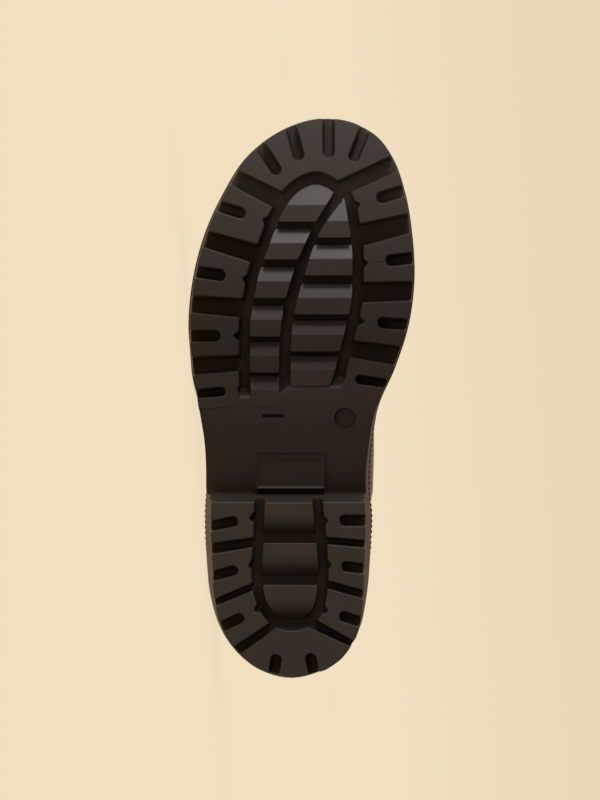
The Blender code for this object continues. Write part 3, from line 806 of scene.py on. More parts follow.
@dataclass(frozen=True)
class Outsole(BootPiece):
    """Moulded unit sole: forefoot and heel tread, arched waist with its bare plate, and flared heel."""

    form: SoleForm
    breast_tread: float = 89.8
    breast_top: float = 94.2
    breast_reach: float = 1.0
    breast_proud: float = 0.06
    arch_height: float = 13.0
    arch_ease: float = 1.6
    waist_front: float = 140.0
    waist_front_height: float = 0.15
    floor_start: float = 147.0
    ramp_pitch: float = 1.0
    ramp_skew: float = 5.0
    ramp_skew_start: float = -8.0
    ramp_skew_run: float = 10.0
    floor_blend: float = 0.3
    blend_steps: int = 5
    tapers: tuple[EdgeRow, ...] = (
        EdgeRow(-1.5, 4.3, 4.3),
        EdgeRow(4.0, 3.0, 2.0),
        EdgeRow(11.0, 1.9, 0.8),
        EdgeRow(22.0, 1.4, 0.8),
        EdgeRow(40.0, 2.4, 2.2),
        EdgeRow(56.0, 3.4, 3.3),
        EdgeRow(90.0, 3.4, 3.4),
        EdgeRow(91.5, 2.8, 3.0),
        EdgeRow(94.5, 0.6, 1.8),
        EdgeRow(96.0, 0.1, 1.5),
        EdgeRow(128.0, 0.1, 1.5),
        EdgeRow(141.0, 0.3, 0.6),
        EdgeRow(160.0, 0.8, 0.5),
        EdgeRow(210.0, 1.0, 0.5),
        EdgeRow(255.0, 0.9, 0.5),
        EdgeRow(273.0, 0.5, 0.4),
        EdgeRow(283.0, 0.3, 0.3),
    )
    overhangs: tuple[EdgeRow, ...] = (
        EdgeRow(-1.5, 1.7, 1.7),
        EdgeRow(5.0, 0.9, 0.9),
        EdgeRow(13.0, 0.3, 0.15),
        EdgeRow(22.0, 0.15, 0.15),
    )
    lug_step: float = 0.2
    rim_round: float = 0.9
    rim_pitch: float = 1.25
    station_pitch: float = 2.5
    width_start: float = -43.0
    width_end: float = 70.0
    width_pitch: float = 9.0
    block_pitch: float = 5.0
    draft: float = 1.0
    root_flare: float = 0.5
    root_flare_height: float = 0.9
    root: float = 1.6
    root_sink: float = 0.08
    ledge: float = 0.9
    corner: float = 0.8
    lug_round: float = 0.4
    bar_round: float = 0.4
    round_segments: int = 3
    notch_half: float = 2.6
    slot_steps: int = 10
    slot_reach: float = 30.0
    slot_below: float = 1.0
    slot_depth: float = 7.0
    forefoot_channel: float = 5.8
    heel_channel: float = 5.4
    diagonal_half_width: float = 2.9
    diagonal_start: float = 163.0
    diagonal_low: float = -1.6
    diagonal_bend: float = 0.0042
    bow: float = 1.8
    bow_centre: float = 224.0
    bow_reach: float = 13.0
    bar_rise: float = 4.2
    tip_rise: float = 5.0
    bar_front_run: float = 7.4
    bar_back_run: float = 8.3
    bar_draft: float = 0.5
    ridge_half: float = 0.2
    tip_play: float = 0.3
    tip_width: float = 1.1
    tip_base: float = 229.0
    tip_end: tuple[float, float] = (243.2, 28.2)
    medial_column_front: float = 242.6
    block_fall: float = 5.1
    block_fall_lead: float = 4.0
    block_fall_ease: float = 1.25
    block_edge_steps: int = 9
    block_step: float = 2.2
    plate_back: float = 96.5
    plate_front: float = 113.5
    plate_lateral: float = -16.0
    plate_medial: float = 18.5
    plate_back_height: float = 9.2
    plate_front_height: float = 4.3
    plate_frame: float = 1.5
    plate_head: float = 1.8
    plate_sink: float = 1.4
    plate_round: float = 0.3
    plate_segments: int = 2
    plate_gap_low: tuple[float, float, float] = (94.0, -15.0, 7.5)
    plate_gap_high: tuple[float, float, float] = (96.45, 18.3, 17.0)
    # Bounds of the zones that take painted shade in the hollows, on the ramps and under the waist, and painted
    # reflection on the side walls.
    hollow_depth: float = 5.2
    hollow_wall_depth: float = 0.8
    hollow_lean: float = 0.45
    hollow_inset: float = 1.0
    hollow_margin: float = 0.4
    wall_lean: float = 0.6
    wall_start: float = 0.9
    waist_start: float = 0.1
    face_weight: int = 100
    mark_margin: float = 0.06
    dash_middle: tuple[float, float] = (133.1, -7.5)
    dash_size: tuple[float, float] = (1.7, 10.5)
    dash_depth: float = 1.6
    seam_middle: tuple[float, float] = (210.0, 45.2)
    seam_size: tuple[float, float] = (0.4, 6.6)
    seam_depth: float = 0.35
    disc_middle: tuple[float, float] = (131.75, 28.5)
    disc_radius: float = 6.4
    disc_depth: float = 2.4
    disc_draft: float = 1.8
    disc_floor: float = 2.2
    disc_segments: int = 64
    forefoot_back: tuple[float, float] = (128.0, 0.0)
    forefoot_front: tuple[float, float] = (255.5, 15.5)
    forefoot_rows: tuple[EdgeRow, ...] = (
        EdgeRow(138.0, -23.5, 22.5),
        EdgeRow(147.0, -24.5, 26.6),
        EdgeRow(162.0, -24.8, 31.0),
        EdgeRow(171.0, -24.8, 33.2),
        EdgeRow(182.0, -24.6, 36.0),
        EdgeRow(192.0, -22.8, 37.6),
        EdgeRow(209.8, -19.0, 38.0),
        EdgeRow(219.0, -15.3, 37.8),
        EdgeRow(229.0, -11.8, 36.2),
        EdgeRow(237.3, -8.0, 34.6),
        EdgeRow(245.5, -3.0, 31.5),
        EdgeRow(251.0, 2.6, 25.0),
    )
    heel_back: tuple[float, float] = (25.4, 1.5)
    heel_front: tuple[float, float] = (124.0, 0.0)
    heel_rows: tuple[EdgeRow, ...] = (
        EdgeRow(29.0, -9.6, 13.2),
        EdgeRow(34.0, -13.4, 17.2),
        EdgeRow(41.0, -16.6, 19.2),
        EdgeRow(49.0, -18.2, 20.2),
        EdgeRow(72.0, -17.5, 19.4),
        EdgeRow(90.0, -17.0, 17.5),
        EdgeRow(110.0, -16.5, 16.5),
    )
    forefoot_grooves: tuple[Groove, ...] = (
        Groove(Side.LATERAL, 136.3, 138.0, 136.3, 138.0),
        Groove(Side.LATERAL, 163.0, 163.5, 153.3, 155.0),
        Groove(Side.LATERAL, 193.5, 192.0, 184.5, 182.0),
        Groove(Side.LATERAL, 225.8, 219.0, 217.5, 209.8),
        Groove(Side.LATERAL, 256.5, 245.5, 249.0, 237.3),
        Groove(Side.MEDIAL, 263.5, 251.0, 255.5, 245.0),
        Groove(Side.MEDIAL, 234.5, 229.3, 224.5, 217.8),
        Groove(Side.MEDIAL, 200.3, 200.0, 190.3, 189.5),
        Groove(Side.MEDIAL, 168.0, 170.8, 158.0, 162.0),
        Groove(Side.MEDIAL, 138.8, 146.0, 138.8, 146.0),
    )
    heel_grooves: tuple[Groove, ...] = (
        Groove(Side.MEDIAL, 89.8, 89.8, 89.8, 89.8),
        Groove(Side.MEDIAL, 71.0, 72.8, 67.0, 68.5),
        Groove(Side.MEDIAL, 46.0, 51.0, 41.5, 46.5),
        Groove(Side.MEDIAL, 20.5, 30.8, 17.5, 27.2),
        Groove(Side.LATERAL, 17.5, 29.2, 13.6, 26.8),
        Groove(Side.LATERAL, 41.5, 49.5, 37.8, 45.5),
        Groove(Side.LATERAL, 69.5, 72.5, 63.8, 67.3),
        Groove(Side.LATERAL, 89.8, 89.8, 89.8, 89.8),
    )
    forefoot_slots: tuple[tuple[Slot, ...], ...] = (
        (Slot(145.3, -31.0, -95.0, 5.0, 5.5),),
        (Slot(173.0, -33.5, -90.0, 6.2, 5.5),),
        (Slot(203.0, -31.0, -81.5, 6.4, 7.9),),
        (Slot(233.8, -21.0, -73.0, 6.0, 8.4),),
        (
            Slot(254.0, -4.5, -33.0, 6.2),
            Slot(261.0, 6.0, -15.0, 6.2),
            Slot(262.3, 20.3, 0.0, 6.4),
            Slot(260.5, 32.0, 22.0, 6.2),
        ),
        (Slot(241.5, 44.0, 73.0, 6.2, 7.9),),
        (Slot(210.5, 48.5, 84.0, 6.2, 8.1),),
        (Slot(179.8, 44.5, 94.5, 6.0, 5.6),),
        (Slot(151.5, 33.5, 98.5, 5.0, 4.6),),
    )
    heel_slots: tuple[tuple[Slot, ...], ...] = (
        (Slot(80.7, 25.5, 90.0, 6.0, 5.1),),
        (Slot(58.0, 26.5, 97.0, 5.6, 4.3),),
        (Slot(33.5, 25.5, 108.0, 5.6, 5.0),),
        (Slot(14.5, 11.0, 170.0, 6.0), Slot(14.0, -5.5, 188.5, 6.0)),
        (Slot(33.0, -21.8, -116.0, 5.6, 4.8),),
        (Slot(56.5, -24.8, -106.5, 5.4, 4.9),),
        (Slot(80.7, -24.8, -101.5, 5.6, 5.0),),
    )
    lateral_ridges: tuple[float, ...] = (238.5, 219.5, 200.3, 181.0, 163.0, 146.0)
    medial_ridges: tuple[float, ...] = (230.5, 211.5, 192.0, 173.5, 156.0)
    heel_blocks: tuple[HeelBlock, ...] = (
        HeelBlock(89.6, 79.5, 74.5),
        HeelBlock(69.3, 59.0, 53.4),
        HeelBlock(48.3, 37.0, 31.6),
    )

    def taper(self, points: np.ndarray) -> np.ndarray:
        """How far the tread's edge lies inside the welt's edge at plan points."""
        return self.form.by_side(points, self.tapers)

    def breast(self, z: float) -> float:
        """Station of the sloped front of the heel at a height."""
        return self.breast_tread + (self.breast_top - self.breast_tread) * z / self.arch_height

    def plain_floor(self, x: float, skew: float) -> float:
        """Height of the underside between the tread blocks, with its corners left sharp.

        Args:
            x: Station.
            skew: How far the ramp into the forefoot is moved towards the toe.

        Returns:
            The height, without the toe spring.
        """
        if x <= self.breast(self.form.heel_tread_depth):
            return self.form.heel_tread_depth
        if x <= self.breast_top:
            return self.arch_height * (x - self.breast_tread) / (self.breast_top - self.breast_tread)
        if x <= self.waist_front:
            share = (self.waist_front - x) / (self.waist_front - self.breast_top)
            rise = self.arch_height - self.waist_front_height
            return self.waist_front_height + rise * share**self.arch_ease
        share = max(0.0, x - self.waist_front - skew) / (self.floor_start - self.waist_front)
        rise = self.form.tread_depth - self.waist_front_height
        return self.waist_front_height + rise * ease(share * share)

    def skew(self, y: float) -> float:
        """How far the ramp into the forefoot lies towards the toe at an offset."""
        return self.ramp_skew * ease((y - self.ramp_skew_start) / self.ramp_skew_run)

    def floor(self, x: float, y: float) -> float:
        """Height of the underside between the tread blocks, its corners rounded.

        Args:
            x: Station.
            y: Offset.

        Returns:
            The height, with the toe spring.
        """
        skew = self.skew(y)
        steps = np.linspace(-1.0, 1.0, self.blend_steps)
        near = [self.plain_floor(x + step * self.floor_blend, skew) for step in steps]
        return sum(near) / len(near) + self.form.toe_spring(x)

    def body(self) -> Clay:
        """Sole without its tread.

        Returns:
            A slab between the floor and the footbed, with flared sides.
        """
        under = self.form.edge.inset(lambda points: self.taper(points) + self.lug_step)
        top = self.form.edge.inset(lambda points: self.form.by_side(points, self.overhangs))
        clay = Clay()
        clay.face(under.spaced(self.rim_pitch))
        bends = [self.breast(self.form.heel_tread_depth), self.breast_top]
        near = [bend + step * self.floor_blend for bend in bends for step in (-1.0, 0.0, 1.0)]
        even = np.arange(under.back_x + self.station_pitch, under.front_x, self.station_pitch)
        ramp = np.arange(self.waist_front, self.floor_start + self.ramp_skew, self.ramp_pitch)
        clay.sliced(Axis.X, [*even, *near, *ramp])
        skewed = np.arange(0.0, self.ramp_skew_run + self.ramp_pitch, self.ramp_pitch)
        wide = np.arange(self.width_start, self.width_end, self.width_pitch)
        clay.sliced(Axis.Y, [*(self.ramp_skew_start + skewed), *wide])
        rim = {vertex for edge in clay.mesh.edges if edge.is_boundary for vertex in edge.verts}
        lower = list(clay.mesh.verts)
        made = bmesh.ops.extrude_face_region(clay.mesh, geom=list(clay.mesh.faces))["geom"]
        for vertex in (item for item in made if isinstance(item, bmesh.types.BMVert)):
            partners = [edge.other_vert(vertex) for edge in vertex.link_edges]
            if any(partner in rim for partner in partners):
                vertex.co.xy = under.matched(np.array(vertex.co.xy), top)
            vertex.co.z = self.form.footbed(vertex.co.x)
        for vertex in lower:
            vertex.co.z = self.floor(vertex.co.x, vertex.co.y)
        corners = []
        for edge in clay.mesh.edges:
            on_rim = all(vertex in rim for vertex in edge.verts)
            if on_rim and edge.calc_face_angle(0.0) > Outline.CORNER_TURN:
                corners.append(edge)
        clay.softened(corners, self.rim_round, self.round_segments)
        return clay

    def notched(
        self, chain: np.ndarray, origin: np.ndarray, axis: np.ndarray, half: float, outwards: float
    ) -> tuple[np.ndarray, np.ndarray]:
        """Split a chain of points where it crosses a strip.

        Args:
            chain: The points.
            origin: A point in the middle of the strip.
            axis: The strip's direction.
            half: Half of its width.
            outwards: 1 for the strip ahead of the origin, -1 for the strip behind it.

        Returns:
            The points before the strip and those after it, with both ends on its sides.
        """
        offset = chain - origin
        across = offset @ np.array([-axis[1], axis[0]])
        places = np.flatnonzero((abs(across) < half) & (offset @ axis * outwards > 0.0))
        mouth = []
        for place, neighbour in ((places[0], places[0] - 1), (places[-1], places[-1] + 1)):
            share = (half - abs(across[place])) / (abs(across[neighbour]) - abs(across[place]))
            mouth.append(chain[place] + share * (chain[neighbour] - chain[place]))
        return np.vstack([chain[: places[0]], mouth[0]]), np.vstack([mouth[1], chain[places[-1] + 1 :]])

    def lug_outline(
        self, outer: PlanLoop, inner: PlanLoop, leaving: Groove, arriving: Groove, slots: Sequence[Slot]
    ) -> Outline:
        """Plan polygon of the lug between two grooves.

        Args:
            outer: The tread's edge.
            inner: Line of the lugs' inner ends.
            leaving: Groove before the lug.
            arriving: Groove after it.
            slots: Slots in it, in their order along the edge.

        Returns:
            The outline.
        """
        start_out, start_in = leaving.beside(lug_follows=True)
        stop_out, stop_in = arriving.beside(lug_follows=False)
        edge = outer.run(outer.index(leaving.side, start_out), outer.index(arriving.side, stop_out))
        back = inner.run(inner.index(leaving.side, start_in), inner.index(arriving.side, stop_in))[::-1]
        parts: list[tuple[np.ndarray, bool]] = []
        inner_parts = [(Outline.thinned(back), False)]
        for slot in slots:
            before, edge = self.notched(edge, slot.tip, slot.axis, slot.width / 2, 1.0)
            parts += [(Outline.thinned(before), True), (slot.arc(self.slot_steps), False)]
            if slot.neck:
                first, last = self.notched(back, slot.tip, slot.axis, self.notch_half, -1.0)
                point = (slot.tip - slot.axis * slot.neck)[None]
                chains = (Outline.thinned(first), point, Outline.thinned(last))
                inner_parts = [(chain, False) for chain in chains]
        parts += [(Outline.thinned(edge), True), *inner_parts]
        marks = [np.full(len(points), on_edge) for points, on_edge in parts]
        return Outline(np.vstack([points for points, _ in parts]), np.concatenate(marks))

    def lug(self, outline: Outline, depth: float, sloped_front: bool) -> Clay:
        """One drafted lug with rounded corners and edges, rooted in the sole.

        Args:
            outline: Its polygon.
            depth: Depth of the tread.
            sloped_front: Whether its front belongs to the front of the heel.

        Returns:
            The lug, with its tread on the ground.
        """
        straight = depth - self.root_flare_height
        foot = self.draft + self.root_flare
        levels = (
            Level(0.0, 0.0, 0.0),
            Level(self.draft * straight / depth, 0.0, straight),
            Level(foot, 0.0, depth + self.root_sink),
            Level(foot, 0.0, depth + self.root),
            Level(foot, -self.lug_step - self.ledge, depth + self.root + self.ledge),
        )
        at_breast = outline.points[:, 0] > self.breast_tread - self.breast_reach
        clay = Clay()
        ring = None
        for level in levels:
            points = outline.grown(level.draft, level.edge_shift)
            if sloped_front:
                points[at_breast, 0] = self.breast(level.height) + self.breast_proud * (level.height > 0.0)
            plan = outline.rounded(points, self.corner)
            ring_points = at_height(plan, level.height)
            ring = clay.ring(ring_points) if ring is None else clay.raised(ring, ring_points)
            if level is levels[0]:
                tread = clay.mesh.faces.new(ring)
        clay.mesh.faces.new(ring)
        clay.softened(tread.edges, self.lug_round, self.round_segments)
        return clay

    def lugs(self, outer: PlanLoop, inner: PlanLoop, heel: bool) -> list[Clay]:
        """The lugs of the forefoot or of the heel.

        Args:
            outer: The tread's edge.
            inner: Line of the lugs' inner ends.
            heel: Whether they are the heel's.

        Returns:
            The lugs, in their order along the edge.
        """
        grooves = self.heel_grooves if heel else self.forefoot_grooves
        slot_sets = self.heel_slots if heel else self.forefoot_slots
        depth = self.form.heel_tread_depth if heel else self.form.tread_depth
        made = []
        for leaving, arriving, slots in zip(grooves, grooves[1:], slot_sets):
            made.append(self.lug(self.lug_outline(outer, inner, leaving, arriving, slots), depth, heel))
        return made

    def wedge(
        self,
        back: float,
        front: float,
        lateral: Callable[[float], float],
        medial: Callable[[float], float],
        depth: float,
        rise: Callable[[float], float],
        bends: Sequence[float],
        lean: float = 0.0,
    ) -> Clay:
        """Block across the sole, whose face is lifted off the ground along its length.

        Args:
            back: Station of its back.
            front: Station of its front.
            lateral: Offset of its lateral side at a station.
            medial: Offset of its medial side at a station.
            depth: Depth of the tread.
            rise: Lift of its face at a station.
            bends: Stations where that lift changes, from back to front.
            lean: How far the root of its front stands ahead of its face.

        Returns:
            The block.
        """
        stops = [back, *bends, front]
        runs = []
        for start, end in zip(stops, stops[1:]):
            runs.append(np.linspace(start, end, 2 + int((end - start) / self.block_step)))
        stations = np.unique(np.concatenate(runs))
        near = [(x, lateral(x)) for x in stations]
        far = [(x, medial(x)) for x in stations[::-1]]
        outline = Outline(np.array(near + far), np.zeros(2 * len(stations), dtype=bool))
        clay = Clay()
        plan = outline.rounded(outline.points, self.corner)
        ring = clay.ring(at_height(plan, 0.0))
        tread = clay.mesh.faces.new(ring)
        foot = outline.grown(self.bar_draft, 0.0)
        foot[foot[:, 0] > front, 0] += lean
        plan = outline.rounded(foot, self.corner)
        top = clay.raised(ring, at_height(plan, depth + self.root))
        clay.mesh.faces.new(top)
        clay.softened(tread.edges, self.bar_round, self.round_segments)
        clay.sliced(Axis.X, bends)
        for vertex in clay.mesh.verts:
            if vertex.co.z < self.bar_round + Clay.MERGE:
                vertex.co.z += rise(vertex.co.x)
        return clay

    def diagonal(self, side: Side, x: float) -> float:
        """One side of the curved channel between the two columns of bars.

        Args:
            side: The side.
            x: Station.

        Returns:
            Its offset. The medial side is bowed towards the channel.
        """
        run = max(0.0, x - self.diagonal_start)
        half = self.diagonal_half_width * math.hypot(1.0, 2 * self.diagonal_bend * run)
        middle = self.diagonal_low + self.diagonal_bend * run * run
        if side is Side.LATERAL:
            return middle - half
        return middle + half - self.bow * math.exp(-(((x - self.bow_centre) / self.bow_reach) ** 2))

    def tip_side(self, columns: PlanLoop, x: float) -> float:
        """Medial end of the medial column, which runs straight to its tip.

        Args:
            columns: Outline of both columns.
            x: Station.

        Returns:
            Its offset.
        """
        base = columns.y(Side.MEDIAL, min(x, self.tip_base))
        share = max(0.0, x - self.tip_base) / (self.tip_end[0] - self.tip_base)
        return base + (self.tip_end[1] - base) * share

    @staticmethod
    def ramped(ridge: float, slope: float, x: float) -> float:
        """Lift of a bar's face on the toe side of its ridge."""
        return slope * max(0.0, x - ridge)

    def bars(self, columns: PlanLoop) -> list[Clay]:
        """Two columns of wedge bars under the forefoot, either side of the diagonal channel.

        Args:
            columns: Outline of both columns.

        Returns:
            The bars.
        """

        def lateral_end(x: float) -> float:
            """Medial end of the lateral column."""
            return min(columns.y(Side.MEDIAL, x), self.diagonal(Side.LATERAL, x))

        def medial_start(x: float) -> float:
            """Lateral end of the medial column."""
            return min(self.diagonal(Side.MEDIAL, x), medial_end(x) - self.tip_width)

        lateral_start = partial(columns.y, Side.LATERAL)
        medial_end = partial(self.tip_side, columns)
        made = []
        for ridges, near, far, tip in (
            (self.lateral_ridges, lateral_start, lateral_end, columns.front_x - self.tip_play),
            (self.medial_ridges, medial_start, medial_end, self.medial_column_front),
        ):
            for ridge in ridges:
                front = tip if ridge == ridges[0] else ridge + self.bar_front_run
                height = self.tip_rise if ridge == self.medial_ridges[0] else self.bar_rise
                rise = partial(self.ramped, ridge, height / (front - ridge))
                depth = self.form.tread_depth
                bends = (ridge - self.ridge_half, ridge + self.ridge_half)
                made.append(self.wedge(ridge - self.bar_back_run, front, near, far, depth, rise, bends))
        return made

    def rolled(self, block: HeelBlock, x: float) -> float:
        """Lift of a middle block's face behind its crest."""
        start = block.crest + self.block_fall_lead
        return self.block_fall * (max(0.0, start - x) / (start - block.back)) ** self.block_fall_ease

    def middle_blocks(self, field: PlanLoop) -> list[Clay]:
        """Middle blocks of the heel, flat in front and rolling away behind their crest.

        Args:
            field: Outline of all of them.

        Returns:
            The blocks. The front of the first belongs to the sloped front of the heel.
        """
        made = []
        depth = self.form.heel_tread_depth
        slope = self.breast(depth + self.root) - self.heel_blocks[0].front - self.bar_draft
        for block in self.heel_blocks:
            made.append(
                self.wedge(
                    block.back,
                    block.front,
                    partial(field.y, Side.LATERAL),
                    partial(field.y, Side.MEDIAL),
                    depth,
                    partial(self.rolled, block),
                    np.linspace(block.back, block.crest + self.block_fall_lead, self.block_edge_steps)[1:],
                    slope if block is self.heel_blocks[0] else 0.0,
                )
            )
        return made

    def plate(self) -> Clay:
        """Bare plate in the waist.

        Returns:
            A frame round a sunk panel, rooted in the sole.
        """
        clay = Clay()
        corners = [
            (self.plate_back, self.plate_lateral),
            (self.plate_back, self.plate_medial),
            (self.plate_front, self.plate_medial),
            (self.plate_front, self.plate_lateral),
        ]
        face = clay.face(np.array(corners))
        bmesh.ops.recalc_face_normals(clay.mesh, faces=[face])
        made = bmesh.ops.extrude_face_region(clay.mesh, geom=[face])["geom"]
        root = [item for item in made if isinstance(item, bmesh.types.BMVert)]
        for vertex in root:
            vertex.co.z = self.arch_height + self.root
        bmesh.ops.inset_region(clay.mesh, faces=[face], thickness=self.plate_frame, use_even_offset=True)
        for vertex in face.verts:
            if vertex.co.x > (self.plate_back + self.plate_front) / 2:
                vertex.co.x -= self.plate_head
            vertex.co.z += self.plate_sink
        slope = (self.plate_back_height - self.plate_front_height) / (self.plate_front - self.plate_back)
        fixed = set(root)
        for vertex in clay.mesh.verts:
            if vertex not in fixed:
                vertex.co.z += self.plate_front_height + slope * (self.plate_front - vertex.co.x)
        rim = [edge for edge in clay.mesh.edges if not any(vertex in fixed for vertex in edge.verts)]
        clay.softened(rim, self.plate_round, self.plate_segments)
        return clay

    def slot_cut(self, slot: Slot) -> Clay:
        """Body that cuts a lug's slot down into the sole, where the waist rises to meet the lug.

        Args:
            slot: The slot.

        Returns:
            The body.
        """
        arc = slot.arc(self.slot_steps)
        reach = slot.axis * self.slot_reach
        points = np.vstack([arc, arc[-1] + reach, arc[0] + reach])[::-1]
        outline = Outline(points, np.zeros(len(points), dtype=bool))
        clay = Clay()
        ring = clay.ring(at_height(points, -self.slot_below))
        clay.mesh.faces.new(ring)
        high = outline.grown(-outline_sign(points) * self.draft, 0.0)
        ring = clay.raised(ring, at_height(high, self.slot_depth))
        clay.mesh.faces.new(ring)
        return clay

    def recesses(self) -> Clay:
        """Bodies that are cut out of the waist.

        Returns:
            Two slots, the gap behind the plate, a dash and a round mould mark.
        """
        clay = Clay()
        for slot in (self.forefoot_slots[0][0], self.forefoot_slots[-1][0]):
            clay.added(self.slot_cut(slot))
        low, high = Vector(self.plate_gap_low), Vector(self.plate_gap_high)
        clay.box((low + high) / 2, high - low)
        dash_level = self.floor(*self.dash_middle)
        clay.box((*self.dash_middle, dash_level), (*self.dash_size, 2.0 * self.dash_depth))
        disc = bmesh.ops.create_cone(
            clay.mesh,
            cap_ends=True,
            segments=self.disc_segments,
            radius1=self.disc_radius,
            radius2=self.disc_radius - self.disc_draft,
            depth=2.0 * self.disc_depth,
        )["verts"]
        disc_x, disc_y = self.disc_middle
        disc_level = self.floor(disc_x, disc_y)
        slope = self.floor(disc_x + 1.0, disc_y) - disc_level
        turn = Matrix.Rotation(-math.atan(slope), 3, "Y")
        bmesh.ops.rotate(clay.mesh, cent=(0, 0, 0), matrix=turn, verts=disc)
        bmesh.ops.translate(clay.mesh, vec=(disc_x, disc_y, disc_level), verts=disc)
        return clay

    def seam(self) -> Clay:
        """Body that cuts a thin line across a lug of the medial side, from its notch to its slot.

        Returns:
            The body.
        """
        clay = Clay()
        level = self.form.toe_spring(self.seam_middle[0])
        clay.box((*self.seam_middle, level), (*self.seam_size, 2.0 * self.seam_depth))
        return clay

    def tread(self) -> list[Clay]:
        """Every lug, bar and block of the tread, and the plate.

        Returns:
            Two sets of bodies; those in one set stand clear of each other.
        """
        outer = self.form.edge.inset(self.taper)
        forefoot = PlanLoop.through(self.forefoot_back, self.forefoot_rows, self.forefoot_front)
        heel = PlanLoop.through(self.heel_back, self.heel_rows, self.heel_front)
        front_lugs = self.lugs(outer, forefoot, heel=False)
        heel_lugs = self.lugs(outer, heel, heel=True)
        front_sets = (front_lugs[::2] + self.bars(forefoot.inset(self.forefoot_channel)), front_lugs[1::2])
        middle = self.middle_blocks(heel.inset(self.heel_channel))
        heel_sets = (heel_lugs[::2], heel_lugs[1::2] + middle + [self.plate()])
        made = []
        for front_blocks, heel_blocks in zip(front_sets, heel_sets):
            clay = Clay()
            for block in front_blocks:
                clay.added(block)
            spring_start = self.form.spring_start + self.block_pitch / 2
            clay.sliced(Axis.X, np.arange(spring_start, self.form.front[0], self.block_pitch))
            for vertex in clay.mesh.verts:
                vertex.co.z += self.form.toe_spring(vertex.co.x)
            for block in heel_blocks:
                clay.added(block)
            made.append(clay)
        return made

    def marked(self, place: Vector) -> bool:
        """Whether a place lies in the dash or on the wall of the round mould mark.

        Args:
            place: The place.

        Returns:
            Whether it does.
        """
        below = place.z - self.floor(place.x, place.y)
        spans = zip(place, self.dash_middle, self.dash_size)
        if all(abs(part - middle) <= size / 2 for part, middle, size in spans):
            return below > self.mark_margin
        from_wall = abs(math.dist(place.xy, self.disc_middle) - self.disc_radius)
        return from_wall < self.disc_draft and self.mark_margin < below < self.disc_floor

    def zone(self, place: Vector, normal: Vector, inside: PlanLoop) -> Zone:
        """Which finish a face of the sole has.

        Args:
            place: Middle of the face.
            normal: Its normal.
            inside: Line within which the tread lies.

        Returns:
            The zone. In hollows and on ramps the finish starts as that of the outer faces, and darkens with
            depth as painted shade.
        """
        x, y, z = place
        depth = z - self.form.toe_spring(x)
        across = inside.y(Side.LATERAL, x) < y < inside.y(Side.MEDIAL, x)
        if not (inside.back_x < x < inside.front_x and across):
            # Side walls: painted reflection, with painted shade at the back of the heel.
            return Zone.WALL if -normal.z < self.wall_lean and depth > self.wall_start else Zone.FACE
        # The gap behind the plate: painted shade.
        gap = zip(place, self.plate_gap_low, self.plate_gap_high)
        if all(low <= part <= high for part, low, high in gap):
            return Zone.HOLLOW
        # The dash and the mould mark's wall: the ramp's painted shade.
        if self.marked(place):
            return Zone.RAMP
        # Under the heel: the finish that darkens with depth as painted shade.
        if x < self.breast_tread - self.breast_reach:
            return Zone.HOLLOW
        ramp = x - self.waist_front - self.skew(y)
        # Faces of the waist that face the ground: painted shade under the arch.
        if self.breast_top < x and ramp < 0.0 and -normal.z > self.wall_lean and depth > self.waist_start:
            return Zone.WAIST
        if self.breast(self.form.heel_tread_depth) < x < self.waist_front - self.breast_reach:
            return Zone.FACE
        # Ramps into the forefoot: painted shade that darkens with depth.
        if 0.0 < ramp < self.floor_start - self.waist_front:
            return Zone.RAMP
        wall = -normal.z < self.hollow_lean and depth > self.hollow_wall_depth
        if wall and normal.x > self.hollow_lean and x < self.waist_front - self.breast_reach:
            return Zone.FACE
        # Walls and floors of the grooves: painted shade that darkens with depth.
        down = wall or depth > self.hollow_depth or abs(z - self.floor(x, y)) < self.hollow_margin
        return Zone.HOLLOW if down else Zone.FACE

    def build(self, pose: Matrix) -> bpy.types.Object:
        """The whole outsole as one body.

        Args:
            pose: Where the boot lies.

        Returns:
            The outsole, with its zones as material slots.
        """
        still = Matrix.Identity(4)
        sole = self.body().piece("outsole_unit", still)
        worked(sole, self.recesses().piece("waist_recesses", still), Tool.CUT)
        for blocks in self.tread():
            worked(sole, blocks.piece("tread_blocks", still), Tool.JOIN)
        worked(sole, self.seam().piece("lug_seam", still), Tool.CUT)
        finished(sole)
        inside = self.form.edge.inset(lambda points: self.taper(points) + self.hollow_inset)
        # Each face takes its zone's finish, painted light and shade of the tread's rubber.
        for face in sole.data.polygons:
            face.material_index = self.zone(face.center, face.normal, inside).value
        sole.data.transform(pose)
        weighted = sole.modifiers.new("even_faces", "WEIGHTED_NORMAL")
        weighted.keep_sharp = True
        weighted.weight = self.face_weight
        return sole


